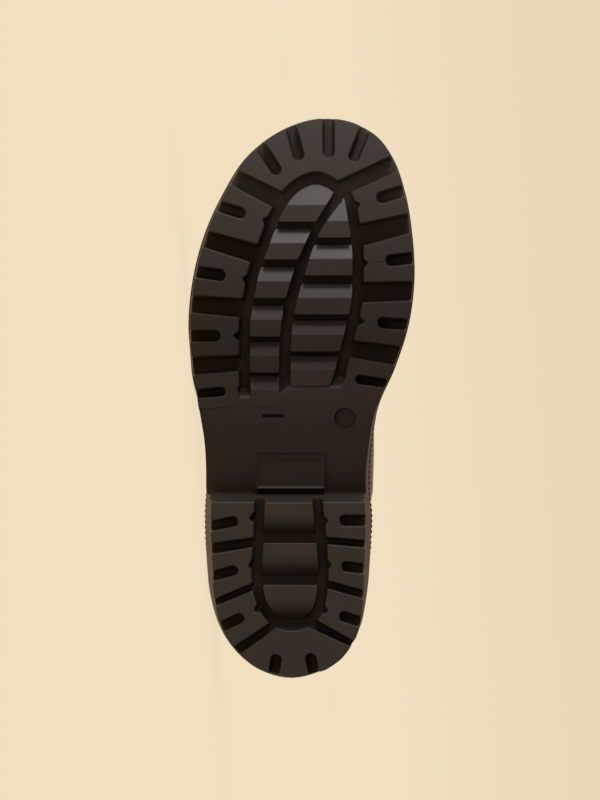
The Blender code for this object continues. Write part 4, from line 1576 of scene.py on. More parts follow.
@dataclass(frozen=True)
class Welt(BootPiece):
    """Ribbed rubber strip on the edge of the outsole."""

    form: SoleForm
    thickness: float = 3.2
    rib_pitch: float = 2.75
    rib_depth: float = 0.75
    rib_points: int = 8
    rib_power: float = 0.7
    edge_round: float = 0.4
    edge_share: float = 0.5
    turn_depth: float = 0.2
    turn_height: float = 0.3
    turn_share: float = 0.9
    lip_start: float = 119.0
    lip_run: float = 14.0
    lip_share: float = 0.4
    draws: tuple[EdgeRow, ...] = (
        EdgeRow(-1.5, 1.9, 1.9),
        EdgeRow(5.0, 1.1, 1.1),
        EdgeRow(14.0, 0.5, 0.5),
        EdgeRow(58.0, 0.5, 0.5),
        EdgeRow(66.0, -0.2, -0.3),
        EdgeRow(92.0, -0.2, -0.4),
        EdgeRow(98.0, 0.6, -0.5),
        EdgeRow(118.0, 0.6, -0.5),
        EdgeRow(134.0, 0.6, -0.1),
        EdgeRow(150.0, -0.37, -0.37),
    )

    def drawn(self, points: np.ndarray) -> np.ndarray:
        """How far the strip lies inside the edge at plan points, or outside it where that is negative."""
        return self.form.by_side(points, self.draws)

    def build(self, pose: Matrix) -> bpy.types.Object:
        """The ring, as a profile of rings that follow the ribs.

        Args:
            pose: Where the boot lies.

        Returns:
            The welt.
        """
        draw = self.drawn(self.form.edge.points)
        loop = self.form.edge.inset(self.drawn)
        places = loop.places(self.rib_pitch / self.rib_points)
        places = places[: len(places) // self.rib_points * self.rib_points]
        phase = np.arange(len(places)) / self.rib_points
        rib = self.rib_depth * (1.0 - abs(np.sin(math.pi * phase)) ** self.rib_power)
        lip = 1.0 - ease((loop.points[places, 0] - self.lip_start) / self.lip_run)
        low, high = self.form.gap, self.form.gap + self.thickness
        lip_top = low + self.lip_share * self.thickness
        width = self.form.welt_width - draw[places]
        turn_in = self.turn_depth * self.edge_round
        turn_up = self.turn_height * self.edge_round
        # A row holds the depth behind the edge, the share of a rib's depth that is added, and the height.
        profile = (
            (width, 0.0, low),
            (self.edge_round, self.edge_share * lip, low),
            (turn_in, self.turn_share * lip, low + turn_up),
            (0.0, lip, lip_top - self.edge_round),
            (turn_in, 1.0 - self.turn_share + self.turn_share * lip, lip_top - turn_up),
            (0.0, 1.0, lip_top),
            (0.0, 1.0, high - self.edge_round),
            (turn_in, self.turn_share, high - turn_up),
            (self.edge_round, self.edge_share, high),
            (width, 0.0, high),
            (width, 0.0, low),
        )
        base = loop.points[places]
        inner = loop.inset(1.0).points[places] - base
        clay = Clay()
        ring = None
        for depth, rib_share, height in profile:
            plan = base + inner * (depth + rib * rib_share)[:, None]
            points = np.column_stack([plan, self.form.footbed(plan[:, 0]) + height])
            ring = clay.ring(points) if ring is None else clay.raised(ring, points)
        return clay.piece("ribbed_welt", pose)


@dataclass(frozen=True)
class Upper(BootPiece):
    """Moulded rubber shell over the last: foot and short shaft in one, with a raised band at the collar."""

    form: SoleForm
    band_start: float = 10.55
    band_step: float = 0.09
    band_proud: float = 0.9
    rim_round: float = 0.06
    swing_ease: float = 1.5
    widening_start: float = 0.25
    widening_run: float = 0.5
    bulge_centre: float = 0.344
    bulge_back: float = 0.056
    bulge_front: float = 0.163
    lateral_bulge: float = 0.3
    stations: int = 96
    outer_levels: int = 110
    step_levels: int = 6
    band_levels: int = 8
    rim_levels: int = 6
    inner_levels: int = 48
    sections: tuple[Section, ...] = (
        Section(3.6, 30.3, 276.9, 24.9, 18.0, 1.00, 1.00, 1.000, 36.0, 50.0, 0.19, 0.30, 0.0),
        Section(3.5, 34.2, 277.0, 28.8, 18.0, 1.00, 1.00, 1.000, 36.0, 50.0, 0.19, 0.30, 0.0),
        Section(2.2, 45.0, 277.2, 38.0, 17.8, 0.85, 1.00, 1.000, 36.8, 50.0, 0.19, 0.32, 8.0),
        Section(1.6, 56.0, 273.6, 48.5, 17.2, 0.55, 0.95, 0.985, 36.5, 49.5, 0.19, 0.36, 8.5),
        Section(2.4, 67.0, 263.5, 57.5, 16.0, 0.30, 0.75, 0.940, 35.8, 48.0, 0.20, 0.43, 6.7),
        Section(4.2, 78.0, 245.0, 65.0, 14.0, 0.12, 0.35, 0.850, 35.0, 45.0, 0.21, 0.50, 2.7),
        Section(6.4, 89.0, 220.0, 73.0, 11.0, 0.00, 0.08, 0.760, 34.2, 41.0, 0.24, 0.54, 1.0),
        Section(8.4, 101.0, 192.0, 85.0, 8.0, 0.00, 0.00, 0.700, 34.0, 39.0, 0.29, 0.58, 0.0),
        Section(9.8, 115.0, 166.0, 102.0, 5.5, 0.00, 0.00, 0.700, 35.0, 38.0, 0.35, 0.58, 0.0),
        Section(10.0, 132.0, 144.5, 124.0, 3.5, 0.00, 0.00, 0.700, 37.0, 38.5, 0.42, 0.56, 0.0),
        Section(9.0, 151.0, 130.0, 148.0, 2.0, 0.00, 0.00, 0.700, 39.2, 39.8, 0.46, 0.53, 0.0),
        Section(7.5, 172.0, 124.0, 172.0, 1.5, 0.00, 0.00, 0.700, 41.0, 41.0, 0.50, 0.50, 0.0),
    )

    def section(self, t: float) -> Section:
        """The section at a place between the table's rows.

        Args:
            t: The place, counted in rows.

        Returns:
            The section, on smooth curves through the rows.
        """
        last = len(self.sections) - 1
        i = min(int(t), last - 1)
        rows = [np.array(self.sections[min(max(i + step, 0), last)]) for step in (-1, 0, 1, 2)]
        before, start, end, after = rows
        return Section(*hermite(start, (end - before) / 2, end, (after - start) / 2, t - i))

    @staticmethod
    def end_round(share: float, round_back: float, round_front: float) -> float:
        """Width of a form with elliptic ends.

        Args:
            share: Place along the form, from 0 to 1.
            round_back: Share of its length that the back end takes up.
            round_front: Share of its length that the front end takes up.

        Returns:
            The width, from 0 at its ends to 1.
        """
        if share < round_back:
            return math.sqrt(max(0.0, 1.0 - (1.0 - share / round_back) ** 2))
        if share > 1.0 - round_front:
            return math.sqrt(max(0.0, 1.0 - ((share - 1.0 + round_front) / round_front) ** 2))
        return 1.0

    def ring(self, t: float) -> np.ndarray:
        """Ring of points round the upper's outside.

        Args:
            t: Place between the rows of the table.

        Returns:
            The points, from the back along the lateral side to the front, and back.
        """
        row = self.section(t)
        form = self.form
        sides: dict[Side, list[tuple[float, float, float]]] = {side: [] for side in Side}
        for step in range(self.stations + 1):
            share = (1.0 - math.cos(math.pi * step / self.stations)) / 2
            x = row.back_x + share * (row.front_x - row.back_x)
            chord = row.back_z + share * (row.front_z - row.back_z)
            level = form.footbed(row.back_x)
            level += share * (form.footbed(row.front_x) - level)
            z = chord + row.follow * (form.footbed(x) - level)
            centre = form.back[1] + (row.swing - form.back[1]) * share**self.swing_ease
            widening = ease((share - self.widening_start) / self.widening_run)
            half = row.heel_half + (row.fore_half - row.heel_half) * widening
            half *= self.end_round(share, row.round_back, row.round_front)
            reach = self.bulge_back if share < self.bulge_centre else self.bulge_front
            spread = math.exp(-(((share - self.bulge_centre) / reach) ** 2))
            bump = row.bulge * spread * math.sin(math.pi * share)
            for side in Side:
                part = self.lateral_bulge if side is Side.LATERAL else 1.0
                sole_y = form.feather.y(side, form.feather.station(share)) * row.sole_scale
                y = row.sole_share * sole_y + (1.0 - row.sole_share) * (centre + side.value * half)
                sides[side].append((x, y + side.value * part * bump, z))
        return np.array(sides[Side.LATERAL] + sides[Side.MEDIAL][-2:0:-1])

    @staticmethod
    def normals(rings: np.ndarray) -> np.ndarray:
        """Outward normals of a stack of rings.

        Args:
            rings: Points of the rings, from the lowest ring up.

        Returns:
            A normal for each point.
        """
        around = np.roll(rings, -1, axis=1) - np.roll(rings, 1, axis=1)
        upwards = np.gradient(rings, axis=0)
        normal = np.cross(around, upwards)
        return normal / np.linalg.norm(normal, axis=2, keepdims=True)

    def proud(self, t: float) -> float:
        """How far the collar's band stands out.

        Args:
            t: Place between the rows of the table.

        Returns:
            The distance. It eases in at the foot of the band and rounds off at the rim.
        """
        last = len(self.sections) - 1
        foot = math.sin(math.pi / 2 * np.clip((t - self.band_start) / self.band_step, 0.0, 1.0))
        head = np.clip((t - last + self.rim_round) / self.rim_round, 0.0, 1.0)
        return self.band_proud * foot - (self.band_proud / 2) * (1.0 - math.sqrt(1.0 - head**2))

    def build(self, pose: Matrix) -> bpy.types.Object:
        """The shell, open at the collar and underneath.

        Args:
            pose: Where the boot lies.

        Returns:
            The upper, with its layers as material slots.
        """
        last = len(self.sections) - 1
        band_foot = self.band_start + self.band_step
        step_places = np.linspace(self.band_start, band_foot, self.step_levels)
        rim_turns = np.linspace(0.0, math.pi / 2, self.rim_levels)
        rim_places = last - self.rim_round * (1.0 - np.sin(rim_turns))
        body_places = np.linspace(0.0, self.band_start, self.outer_levels, endpoint=False)
        band_places = np.linspace(band_foot, last - self.rim_round, self.band_levels)[1:-1]
        places = np.concatenate([body_places, step_places, band_places, rim_places])
        rings = np.array([self.ring(t) for t in places])
        outwards = self.normals(rings)
        stand = np.array([self.proud(t) for t in places])
        outer = rings + outwards * stand[:, None, None]
        keep = np.unique(np.linspace(0, len(places) - 1, self.inner_levels).round().astype(int))
        inner = (rings - outwards * self.form.shell_wall)[keep][::-1]
        clay = Clay()
        ring = clay.ring(outer[0])
        for points in outer[1:]:
            ring = clay.raised(ring, points)
        outside = set(clay.mesh.faces)
        for points in inner:
            ring = clay.raised(ring, points)
        for face in clay.mesh.faces:
            face.material_index = (Layer.RUBBER if face in outside else Layer.LINING).value
        clay.raised(ring, outer[0])
        return clay.piece("moulded_upper", pose)


@dataclass(frozen=True)
class Insole(BootPiece):
    """Footbed that lies inside the upper on the outsole."""

    form: SoleForm
    play: float = 0.5
    thickness: float = 4.0
    edge_round: float = 1.2
    edge_segments: int = 3
    edge_turn: float = 1.0
    spacing: float = 2.0
    station_pitch: float = 4.0

    def build(self, pose: Matrix) -> bpy.types.Object:
        """A slab that follows the footbed, with rounded upper edges.

        Args:
            pose: Where the boot lies.

        Returns:
            The insole.
        """
        form = self.form
        outline = form.edge.inset(form.welt_width + form.welt_play + form.shell_wall + self.play)
        clay = Clay()
        clay.face(outline.spaced(self.spacing))
        first = outline.back_x + self.station_pitch
        clay.sliced(Axis.X, np.arange(first, outline.front_x, self.station_pitch))
        made = bmesh.ops.extrude_face_region(clay.mesh, geom=list(clay.mesh.faces))["geom"]
        top = {item for item in made if isinstance(item, bmesh.types.BMVert)}
        for vertex in clay.mesh.verts:
            vertex.co.z = form.footbed(vertex.co.x) + form.gap + self.thickness * (vertex in top)
        rim = []
        for edge in clay.mesh.edges:
            on_top = all(vertex in top for vertex in edge.verts)
            if on_top and edge.calc_face_angle(0.0) > self.edge_turn:
                rim.append(edge)
        clay.softened(rim, self.edge_round, self.edge_segments)
        return clay.piece("loose_insole", pose)


class Value:
    """A shader socket that carries a number, so that shader maths reads as a Python expression."""

    def __init__(self, recipe: "Recipe", socket: bpy.types.NodeSocket) -> None:
        """Wrap a socket of a recipe's node tree."""
        self.recipe = recipe
        self.socket = socket

    def maths(self, operation: str, first: "Value | float", second: "Value | float") -> "Value":
        """Result of a Math node on two values."""
        node = self.recipe.node("ShaderNodeMath", {"operation": operation}, {0: first, 1: second})
        return Value(self.recipe, node.outputs[0])

    def __add__(self, other: "Value | float") -> "Value":
        """Sum."""
        return self.maths("ADD", self, other)

    def __radd__(self, other: float) -> "Value":
        """Sum, from the right."""
        return self.maths("ADD", other, self)

    def __sub__(self, other: "Value | float") -> "Value":
        """Difference."""
        return self.maths("SUBTRACT", self, other)

    def __rsub__(self, other: float) -> "Value":
        """Difference, from the right."""
        return self.maths("SUBTRACT", other, self)

    def __mul__(self, other: "Value | float") -> "Value":
        """Product."""
        return self.maths("MULTIPLY", self, other)

    def __rmul__(self, other: float) -> "Value":
        """Product, from the right."""
        return self.maths("MULTIPLY", other, self)

    def at_least(self, low: float) -> "Value":
        """The value, or a bound where it lies below that."""
        return self.maths("MAXIMUM", self, low)


class Recipe:
    """The node tree of one finish."""

    NOISE_ROUGHNESS = 0.55
    COLOUR_LOW = 6
    COLOUR_HIGH = 7
    COLOUR_MIXED = 2

    def __init__(self, tree: bpy.types.NodeTree) -> None:
        """Start from a tree, whose nodes are removed."""
        self.tree = tree
        tree.nodes.clear()

    def node(self, kind: str, settings: dict | None = None, inputs: dict | None = None) -> bpy.types.Node:
        """Add a node.

        Args:
            kind: Type of the node.
            settings: Its properties, set first.
            inputs: Values or links of its sockets, by name or by number.

        Returns:
            The node.
        """
        made = self.tree.nodes.new(kind)
        for name, setting in (settings or {}).items():
            setattr(made, name, setting)
        for name, given in (inputs or {}).items():
            socket = made.inputs[name]
            source = given.socket if isinstance(given, Value) else given
            if isinstance(source, bpy.types.NodeSocket):
                self.tree.links.new(source, socket)
            else:
                socket.default_value = source
        return made

    def place(self) -> bpy.types.NodeSocket:
        """The piece's own coordinates, in metres."""
        return self.node("ShaderNodeTexCoord").outputs["Object"]

    def noise(self, size_mm: float, detail: float = 3.0) -> Value:
        """Cloudy noise.

        Args:
            size_mm: About the size of its features.
            detail: How many finer layers it has.

        Returns:
            The noise, from 0 to 1.
        """
        settings = {"Scale": 1.0 / (size_mm * MM), "Detail": detail, "Roughness": self.NOISE_ROUGHNESS}
        node = self.node("ShaderNodeTexNoise", inputs={"Vector": self.place(), **settings})
        return Value(self, node.outputs["Fac"])

    def facing(self, vector: bpy.types.NodeSocket, direction: Sequence[float]) -> Value:
        """How far a vector points in a constant direction.

        Args:
            vector: The vector.
            direction: The direction.

        Returns:
            Their dot product.
        """
        inputs = {0: vector, 1: tuple(direction)}
        node = self.node("ShaderNodeVectorMath", {"operation": "DOT_PRODUCT"}, inputs)
        return Value(self, node.outputs["Value"])

    def along(self, row: Sequence[float]) -> Value:
        """One of the boot's own coordinates, in millimetres, from a row of the transform to them."""
        return self.facing(self.place(), row[:3]) + row[3]

    def step(self, value: Value, low: float, high: float) -> Value:
        """Smooth step of a value.

        Args:
            value: The value.
            low: Where the step begins, with 0.
            high: Where it ends, with 1.

        Returns:
            The step.
        """
        inputs = {"Value": value, "From Min": low, "From Max": high}
        node = self.node("ShaderNodeMapRange", {"interpolation_type": "SMOOTHSTEP"}, inputs)
        return Value(self, node.outputs["Result"])

    def between(
        self, low: Colour | bpy.types.NodeSocket, high: Colour | bpy.types.NodeSocket, share: Value
    ) -> bpy.types.NodeSocket:
        """Mix of two colours.

        Args:
            low: Colour at a share of 0.
            high: Colour at a share of 1.
            share: The share.

        Returns:
            The mixed colour.
        """
        ends = [(*end, 1.0) if isinstance(end, tuple) else end for end in (low, high)]
        inputs = {"Factor": share, self.COLOUR_LOW: ends[0], self.COLOUR_HIGH: ends[1]}
        node = self.node("ShaderNodeMix", {"data_type": "RGBA", "clamp_factor": True}, inputs)
        return node.outputs[self.COLOUR_MIXED]

    def blend(
        self,
        low: bpy.types.NodeSocket,
        high: bpy.types.NodeSocket,
        share: Value | float | bpy.types.NodeSocket,
    ) -> bpy.types.NodeSocket:
        """Mix of two shaders.

        Args:
            low: Shader at a share of 0.
            high: Shader at a share of 1.
            share: The share.

        Returns:
            The mixed shader.
        """
        return self.node("ShaderNodeMixShader", inputs={0: share, 1: low, 2: high}).outputs[0]

    def bump(self, height: Value, distance_mm: float) -> bpy.types.NodeSocket:
        """Normal of a surface that a height from 0 to 1 raises by up to a distance."""
        inputs = {"Height": height, "Distance": distance_mm * MM}
        return self.node("ShaderNodeBump", inputs=inputs).outputs["Normal"]


class Finish(ABC):
    """A look that a piece can have, with the name of its material."""

    name: str

    @abstractmethod
    def shader(self, recipe: Recipe) -> bpy.types.NodeSocket:
        """The finish as a shader.

        Args:
            recipe: The recipe that its nodes go into.

        Returns:
            The shader.
        """

    def material(self) -> bpy.types.Material:
        """The finish as a material.

        Returns:
            A new material.
        """
        made = bpy.data.materials.new(self.name)
        made.use_nodes = True
        recipe = Recipe(made.node_tree)
        recipe.node("ShaderNodeOutputMaterial", inputs={"Surface": self.shader(recipe)})
        return made


@dataclass(frozen=True)
class MouldedRubber(Finish):
    """Rubber straight from the mould: a faint cloud in its colour, fine grain and smudges."""

    name: str
    deep: Colour
    pale: Colour
    roughness: float
    smudge: float = 0.10
    speck_smudge: float = 0.5
    grain_mm: float = 0.35
    grain_detail: float = 2.0
    grain_depth_mm: float = 0.02
    grain_share: float = 0.7
    coat: float = 0.0
    coat_roughness: float = 0.2
    specular: float = 0.5
    cloud_mm: float = 38.0
    cloud_share: float = 0.55
    speck_mm: float = 1.6
    noise_mean: float = 0.5

    def shader(self, recipe: Recipe) -> bpy.types.NodeSocket:
        """The rubber as a shader.

        Args:
            recipe: The recipe that its nodes go into.

        Returns:
            The shader.
        """
        cloud = recipe.noise(self.cloud_mm)
        speck = recipe.noise(self.speck_mm)
        grain = recipe.noise(self.grain_mm, self.grain_detail)
        tone = cloud * self.cloud_share + speck * (1.0 - self.cloud_share)
        smudges = self.roughness + (cloud - self.noise_mean) * self.smudge
        relief = grain * self.grain_share + speck * (1.0 - self.grain_share)
        inputs = {
            "Base Color": recipe.between(self.deep, self.pale, tone),
            "Roughness": smudges + (speck - self.noise_mean) * (self.speck_smudge * self.smudge),
            "Normal": recipe.bump(relief, self.grain_depth_mm),
            "Specular IOR Level": self.specular,
            "Coat Weight": self.coat,
            "Coat Roughness": self.coat_roughness,
        }
        return recipe.node("ShaderNodeBsdfPrincipled", inputs=inputs).outputs[0]


@dataclass(frozen=True)
class PaintedLightGrade(Finish):
    """Lit and shaded copies of one rubber that change along the boot, under the heel, under the middle and at
    the toe: painted light and shade where more or less light falls.
    """

    name: str
    heel: Finish
    middle: Finish
    toe: Finish | None
    pose: Matrix
    heel_end: float = 95.0
    middle_start: float = 115.0
    middle_end: float = 160.0
    toe_start: float = 228.0

    def shader(self, recipe: Recipe) -> bpy.types.NodeSocket:
        """The rubber as a shader.

        Args:
            recipe: The recipe that its nodes go into.

        Returns:
            The shader. Where no finish is given for the toe, the middle's goes on to the front.
        """
        station = recipe.along(self.pose.inverted()[0])
        share = recipe.step(station, self.heel_end, self.middle_start)
        shader = recipe.blend(self.heel.shader(recipe), self.middle.shader(recipe), share)
        if self.toe is None:
            return shader
        share = recipe.step(station, self.middle_end, self.toe_start)
        return recipe.blend(shader, self.toe.shader(recipe), share)


@dataclass(frozen=True)
class HollowPaintedShade(Finish):
    """The sole's rubber down in the tread, with painted shade: it turns dull and dark with depth, where the
    grooves, slots and channels lie in shade.
    """

    name: str
    # The face finish darkens into the floor finish, which is painted shade, from the depth start to the depth
    # full.
    face: Finish
    floor: Finish
    form: SoleForm
    pose: Matrix
    start: float = 0.3
    full: float = 4.2

    def shader(self, recipe: Recipe) -> bpy.types.NodeSocket:
        """The rubber as a shader.

        Args:
            recipe: The recipe that its nodes go into.

        Returns:
            The shader, with painted shade by depth behind the sprung tread.
        """
        rows = self.pose.inverted()
        run = (recipe.along(rows[0]) - self.form.spring_start).at_least(0.0)
        lift = run * run * (self.form.spring / (self.form.front[0] - self.form.spring_start) ** 2)
        share = recipe.step(recipe.along(rows[2]) - lift, self.start, self.full)
        return recipe.blend(self.face.shader(recipe), self.floor.shader(recipe), share)


@dataclass(frozen=True)
class KnittedCloth(Finish):
    """Fine knitted or woven cloth, by crossing sets of threads under a little fuzz."""

    WAVE_SCALE = 0.3142
    THREAD_SHARES = {Axis.X: 0.5, Axis.Y: 0.25, Axis.Z: 0.25}

    name: str
    deep: Colour
    pale: Colour
    thread_mm: float
    depth_mm: float
    roughness: float = 0.92
    distortion: float = 0.6
    detail: float = 1.0
    fuzz_mm: float = 0.7
    weave_tone: float = 0.6
    weave_relief: float = 0.8

    def threads(self, recipe: Recipe, axis: Axis) -> Value:
        """One set of threads.

        Args:
            recipe: The recipe that its nodes go into.
            axis: The axis that the threads lie across.

        Returns:
            Their height, from 0 to 1.
        """
        settings = {"wave_type": "BANDS", "bands_direction": axis.name}
        inputs = {
            "Vector": recipe.place(),
            "Scale": self.WAVE_SCALE / (self.thread_mm * MM),
            "Distortion": self.distortion,
            "Detail": self.detail,
        }
        return Value(recipe, recipe.node("ShaderNodeTexWave", settings, inputs).outputs["Fac"])

    def shader(self, recipe: Recipe) -> bpy.types.NodeSocket:
        """The cloth as a shader.

        Args:
            recipe: The recipe that its nodes go into.

        Returns:
            The shader.
        """
        first, second, third = (
            self.threads(recipe, axis) * share for axis, share in self.THREAD_SHARES.items()
        )
        weave = first + second + third
        fuzz = recipe.noise(self.fuzz_mm)
        tone = weave * self.weave_tone + fuzz * (1.0 - self.weave_tone)
        relief = weave * self.weave_relief + fuzz * (1.0 - self.weave_relief)
        inputs = {
            "Base Color": recipe.between(self.deep, self.pale, tone),
            "Roughness": self.roughness,
            "Normal": recipe.bump(relief, self.depth_mm),
        }
        return recipe.node("ShaderNodeBsdfPrincipled", inputs=inputs).outputs[0]


@dataclass(frozen=True)
class SelfLitPaper(Finish):
    """Paper that is partly self-lit, and looks its own colour under a given light."""

    name: str
    colour: Colour
    glow: float
    light: float

    def shader(self, recipe: Recipe) -> bpy.types.NodeSocket:
        """The paper as a shader.

        Args:
            recipe: The recipe that its nodes go into.

        Returns:
            The shader.
        """
        colour = (*self.colour, 1.0)
        strength = (1.0 - (1.0 - self.glow) * self.light) / self.glow
        lit = recipe.node("ShaderNodeBsdfDiffuse", inputs={"Color": colour})
        glowing = recipe.node("ShaderNodeEmission", inputs={"Color": colour, "Strength": strength})
        return recipe.blend(lit.outputs[0], glowing.outputs[0], self.glow)


# Copies of the tread's dark brown rubber with painted light and shade: darker at the heel, dull in the middle
# and lighter at the toe, for light that falls off from the toe.
HEEL_RUBBER_SHADED = MouldedRubber("heel_rubber_shaded", (0.0150, 0.0101, 0.0075), (0.0254, 0.0171, 0.0128), 0.50)
BALL_RUBBER_DIMMED = MouldedRubber(
    "ball_rubber_dimmed", (0.0216, 0.0160, 0.0144), (0.0366, 0.0270, 0.0246), 0.62, specular=0.08
)
TOE_RUBBER_LIT = MouldedRubber("toe_rubber_lit", (0.0174, 0.0124, 0.0118), (0.0292, 0.0208, 0.0198), 0.50)
# Painted shade for the floors of the grooves, slots and channels; the toe's copy is lighter, as painted light
# where light reaches into the toe's grooves.
HEEL_FLOOR_SHADE = MouldedRubber(
    "heel_floor_shade", (0.0144, 0.0086, 0.0057), (0.0245, 0.0152, 0.0103), 0.70, specular=0.12
)
BALL_FLOOR_SHADE = MouldedRubber(
    "ball_floor_shade", (0.0120, 0.0068, 0.0041), (0.0206, 0.0122, 0.0076), 0.70, specular=0.12
)
TOE_FLOOR_LIGHT = MouldedRubber(
    "toe_floor_light", (0.0310, 0.0224, 0.0186), (0.0520, 0.0378, 0.0316), 0.65, specular=0.2
)
# Painted shade on the back of the heel: dark and dull.
REAR_SHADE = MouldedRubber(
    "rear_shade", (0.0130, 0.0090, 0.0055), (0.0215, 0.0150, 0.0095), 0.70, specular=0.05
)
# Painted shade under the arch of the waist: darker than the tread's faces.
WAIST_SHADE = MouldedRubber(
    "waist_shade", (0.016, 0.0098, 0.0068), (0.027, 0.0168, 0.0118), 0.60, specular=0.3
)
# Painted reflection of the pale room on the sole's side walls: a lighter warm brown than the tread.
SIDE_REFLECTION = MouldedRubber(
    "side_reflection", (0.0545, 0.0246, 0.0123), (0.0806, 0.0377, 0.0197), 0.60, specular=0.18
)
WELT_RUBBER = MouldedRubber(
    "welt_rubber", (0.021, 0.0130, 0.0075), (0.032, 0.0200, 0.0120), 0.50, specular=0.3
)
UPPER_RUBBER = MouldedRubber(
    "upper_rubber",
    (0.090, 0.0460, 0.0235),
    (0.128, 0.0680, 0.0365),
    0.34,
    smudge=0.12,
    grain_mm=0.45,
    grain_depth_mm=0.012,
    coat=0.2,
    specular=0.35,
)
LINING_JERSEY = KnittedCloth("lining_jersey", (0.060, 0.047, 0.038), (0.135, 0.108, 0.086), 0.9, 0.25)
FOOTBED_CLOTH = KnittedCloth("footbed_cloth", (0.085, 0.066, 0.050), (0.190, 0.150, 0.115), 1.3, 0.35)


class Lamp(NamedTuple):
    """Soft light from far away: where it comes from in the boot's own axes, and what it is like."""

    name: str
    toewards: float
    medial: float
    groundwards: float
    strength: float
    spread_deg: float
    colour: Colour
    on_floor: bool


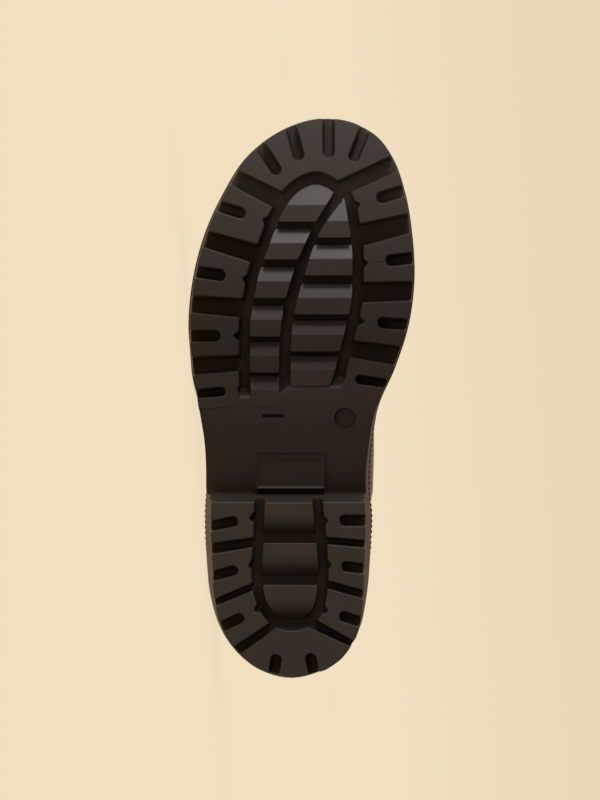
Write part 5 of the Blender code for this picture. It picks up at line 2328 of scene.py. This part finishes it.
@dataclass(frozen=True)
class Studio:
    """Pale floor, soft light and the camera, square to the sole as in the photograph."""

    pose: Matrix
    pieces: tuple[bpy.types.Object, ...]
    aim: tuple[float, float, float] = (141.0, 6.0, 0.0)
    distance: float = 2.2
    view_height: float = 0.4
    view_end: float = 100.0
    film: float = 36.0
    paper: Colour = srgb(242, 224, 194)
    paper_right: Colour = srgb(234, 215, 183)
    paper_right_rise: float = 0.065
    paper_glow: float = 0.75
    front: Colour = (0.081, 0.077, 0.076)
    heel_side: Colour = (0.02, 0.018, 0.015)
    ceiling: Colour = (0.86, 0.83, 0.82)
    behind_range: tuple[float, float] = (-0.3, 0.5)
    ceiling_range: tuple[float, float] = (0.2, 0.95)
    heel_range: tuple[float, float] = (0.15, 0.9)
    room_light: float = 0.39
    floor_radius: float = 30.0
    floor_segments: int = 96
    floor_glow: float = 0.9
    lamps: tuple[Lamp, ...] = (
        Lamp("key", 0.92, 0.12, 0.36, 1.5, 14.0, (1.0, 0.97, 0.97), False),
        Lamp("top", 0.30, 1.00, 0.25, 0.9, 40.0, (1.0, 0.90, 0.76), True),
    )

    def axes(self) -> Matrix:
        """Directions of the boot's toe, medial side and ground, as columns."""
        turn = self.pose.to_3x3().normalized()
        return Matrix((turn.col[0], turn.col[1], -turn.col[2])).transposed()

    def source(self, lamp: Lamp) -> Vector:
        """Direction in the frame that a lamp's light comes from."""
        return self.axes() @ Vector((lamp.toewards, lamp.medial, lamp.groundwards)).normalized()

    def floor_light(self) -> float:
        """Light that falls on the open floor.

        Returns:
            The light, as a share of what a white floor would send back.
        """
        total = self.room_light
        for lamp in self.lamps:
            total += lamp.on_floor * lamp.strength * max(0.0, self.source(lamp).z) / math.pi
        return total

    def add_floor(self) -> None:
        """Round floor of the backdrop's colour."""
        mesh = bmesh.new()
        bmesh.ops.create_circle(mesh, cap_ends=True, segments=self.floor_segments, radius=self.floor_radius)
        data = bpy.data.meshes.new("floor")
        mesh.to_mesh(data)
        mesh.free()
        floor = bpy.data.objects.new("floor", data)
        bpy.context.scene.collection.objects.link(floor)
        paper = SelfLitPaper("floor_paper", self.paper, self.floor_glow, self.floor_light())
        data.materials.append(paper.material())

    def add_lamps(self) -> None:
        """Soft lamps, some of which leave the floor alone."""
        lit = bpy.data.collections.new("lit_pieces")
        for piece in self.pieces:
            lit.objects.link(piece)
        for lamp in self.lamps:
            data = bpy.data.lights.new(lamp.name, "SUN")
            data.energy = lamp.strength
            data.angle = math.radians(lamp.spread_deg)
            data.color = lamp.colour
            light = bpy.data.objects.new(lamp.name, data)
            light.rotation_euler = self.source(lamp).to_track_quat("Z", "Y").to_euler()
            bpy.context.scene.collection.objects.link(light)
            if not lamp.on_floor:
                light.light_linking.receiver_collection = lit

    def add_room(self) -> None:
        """Light of the room, and the paper that the camera sees behind the boot."""
        world = bpy.data.worlds.new("studio")
        bpy.context.scene.world = world
        world.use_nodes = True
        recipe = Recipe(world.node_tree)
        direction = recipe.node("ShaderNodeTexCoord").outputs["Generated"]
        toe, _, ground = self.axes().col
        behind = recipe.step(recipe.facing(direction, -ground), *self.behind_range)
        overhead = recipe.step(recipe.facing(direction, toe), *self.ceiling_range)
        heelwards = recipe.step(recipe.facing(direction, -toe), *self.heel_range)
        glow = tuple(channel * self.paper_glow for channel in self.paper)
        around = recipe.between(recipe.between(self.front, glow, behind), self.ceiling, overhead)
        around = recipe.between(around, self.heel_side, heelwards)
        room = recipe.node("ShaderNodeBackground", inputs={"Color": around})
        rise = recipe.step(recipe.facing(direction, (0.0, 0.0, 1.0)), 0.0, self.paper_right_rise)
        seen_paper = recipe.between(self.paper, self.paper_right, rise)
        paper = recipe.node("ShaderNodeBackground", inputs={"Color": seen_paper})
        seen = recipe.node("ShaderNodeLightPath").outputs["Is Camera Ray"]
        mixed = recipe.blend(room.outputs[0], paper.outputs[0], seen)
        recipe.node("ShaderNodeOutputWorld", inputs={"Surface": mixed})

    def add_camera(self) -> None:
        """Camera square to the sole, with the toe at the top of the picture."""
        toe, _, ground = self.axes().col
        data = bpy.data.cameras.new("camera")
        data.sensor_fit = "VERTICAL"
        data.sensor_height = self.film
        data.sensor_width = self.film
        data.lens = self.film * self.distance / self.view_height
        data.clip_end = self.view_end
        camera = bpy.data.objects.new("camera", data)
        place = self.pose @ Vector(self.aim) + ground * self.distance
        turn = Matrix((toe.cross(ground), toe, ground)).transposed()
        camera.matrix_world = Matrix.Translation(place) @ turn.to_4x4()
        bpy.context.scene.collection.objects.link(camera)
        bpy.context.scene.camera = camera

    def build(self) -> None:
        """Set up everything round the boot."""
        self.add_floor()
        self.add_lamps()
        self.add_room()
        self.add_camera()
        bpy.context.scene.view_settings.view_transform = "Standard"


def main() -> None:
    """Build every piece, dress it, and set up the studio."""
    logging.basicConfig(level=logging.INFO)
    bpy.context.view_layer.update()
    pose = BootPose().matrix(frame["record"]["mounts"])
    form = SoleForm()
    # The tread's faces: lit and shaded copies of its rubber, as painted light and shade along the boot.
    tread = PaintedLightGrade("tread_rubber", HEEL_RUBBER_SHADED, BALL_RUBBER_DIMMED, TOE_RUBBER_LIT, pose)
    # Floors of the tread's hollows: painted shade, lighter at the toe.
    depths = PaintedLightGrade(
        "tread_depths_painted_shade", HEEL_FLOOR_SHADE, BALL_FLOOR_SHADE, TOE_FLOOR_LIGHT, pose, middle_end=215.0, toe_start=250.0
    )
    # Painted shade that darkens with depth, in the hollows and on the ramps, the dash and the mould mark.
    hollow = HollowPaintedShade("tread_hollow_painted_shade", tread, depths, form, pose)
    ramp = HollowPaintedShade("tread_ramp_painted_shade", WAIST_SHADE, BALL_FLOOR_SHADE, form, pose, start=0.15, full=1.6)
    # Side walls: painted reflection, with painted shade at the back of the heel.
    wall = PaintedLightGrade("sole_wall_painted_light", REAR_SHADE, SIDE_REFLECTION, None, pose, heel_end=4.0, middle_start=30.0)
    sole_finishes = (tread, hollow, ramp, WAIST_SHADE, wall)
    outsole = Outsole(form).dressed(pose, "outsole", "tread_rubber", *sole_finishes)
    welt = Welt(form).dressed(pose, "welt", "welt_rubber", WELT_RUBBER)
    upper = Upper(form).dressed(pose, "upper", "upper_rubber", UPPER_RUBBER, LINING_JERSEY)
    insole = Insole(form).dressed(pose, "insole", "footbed_cloth", FOOTBED_CLOTH)
    Studio(pose, (outsole, welt, upper, insole)).build()


if __name__ == "__main__":
    main()
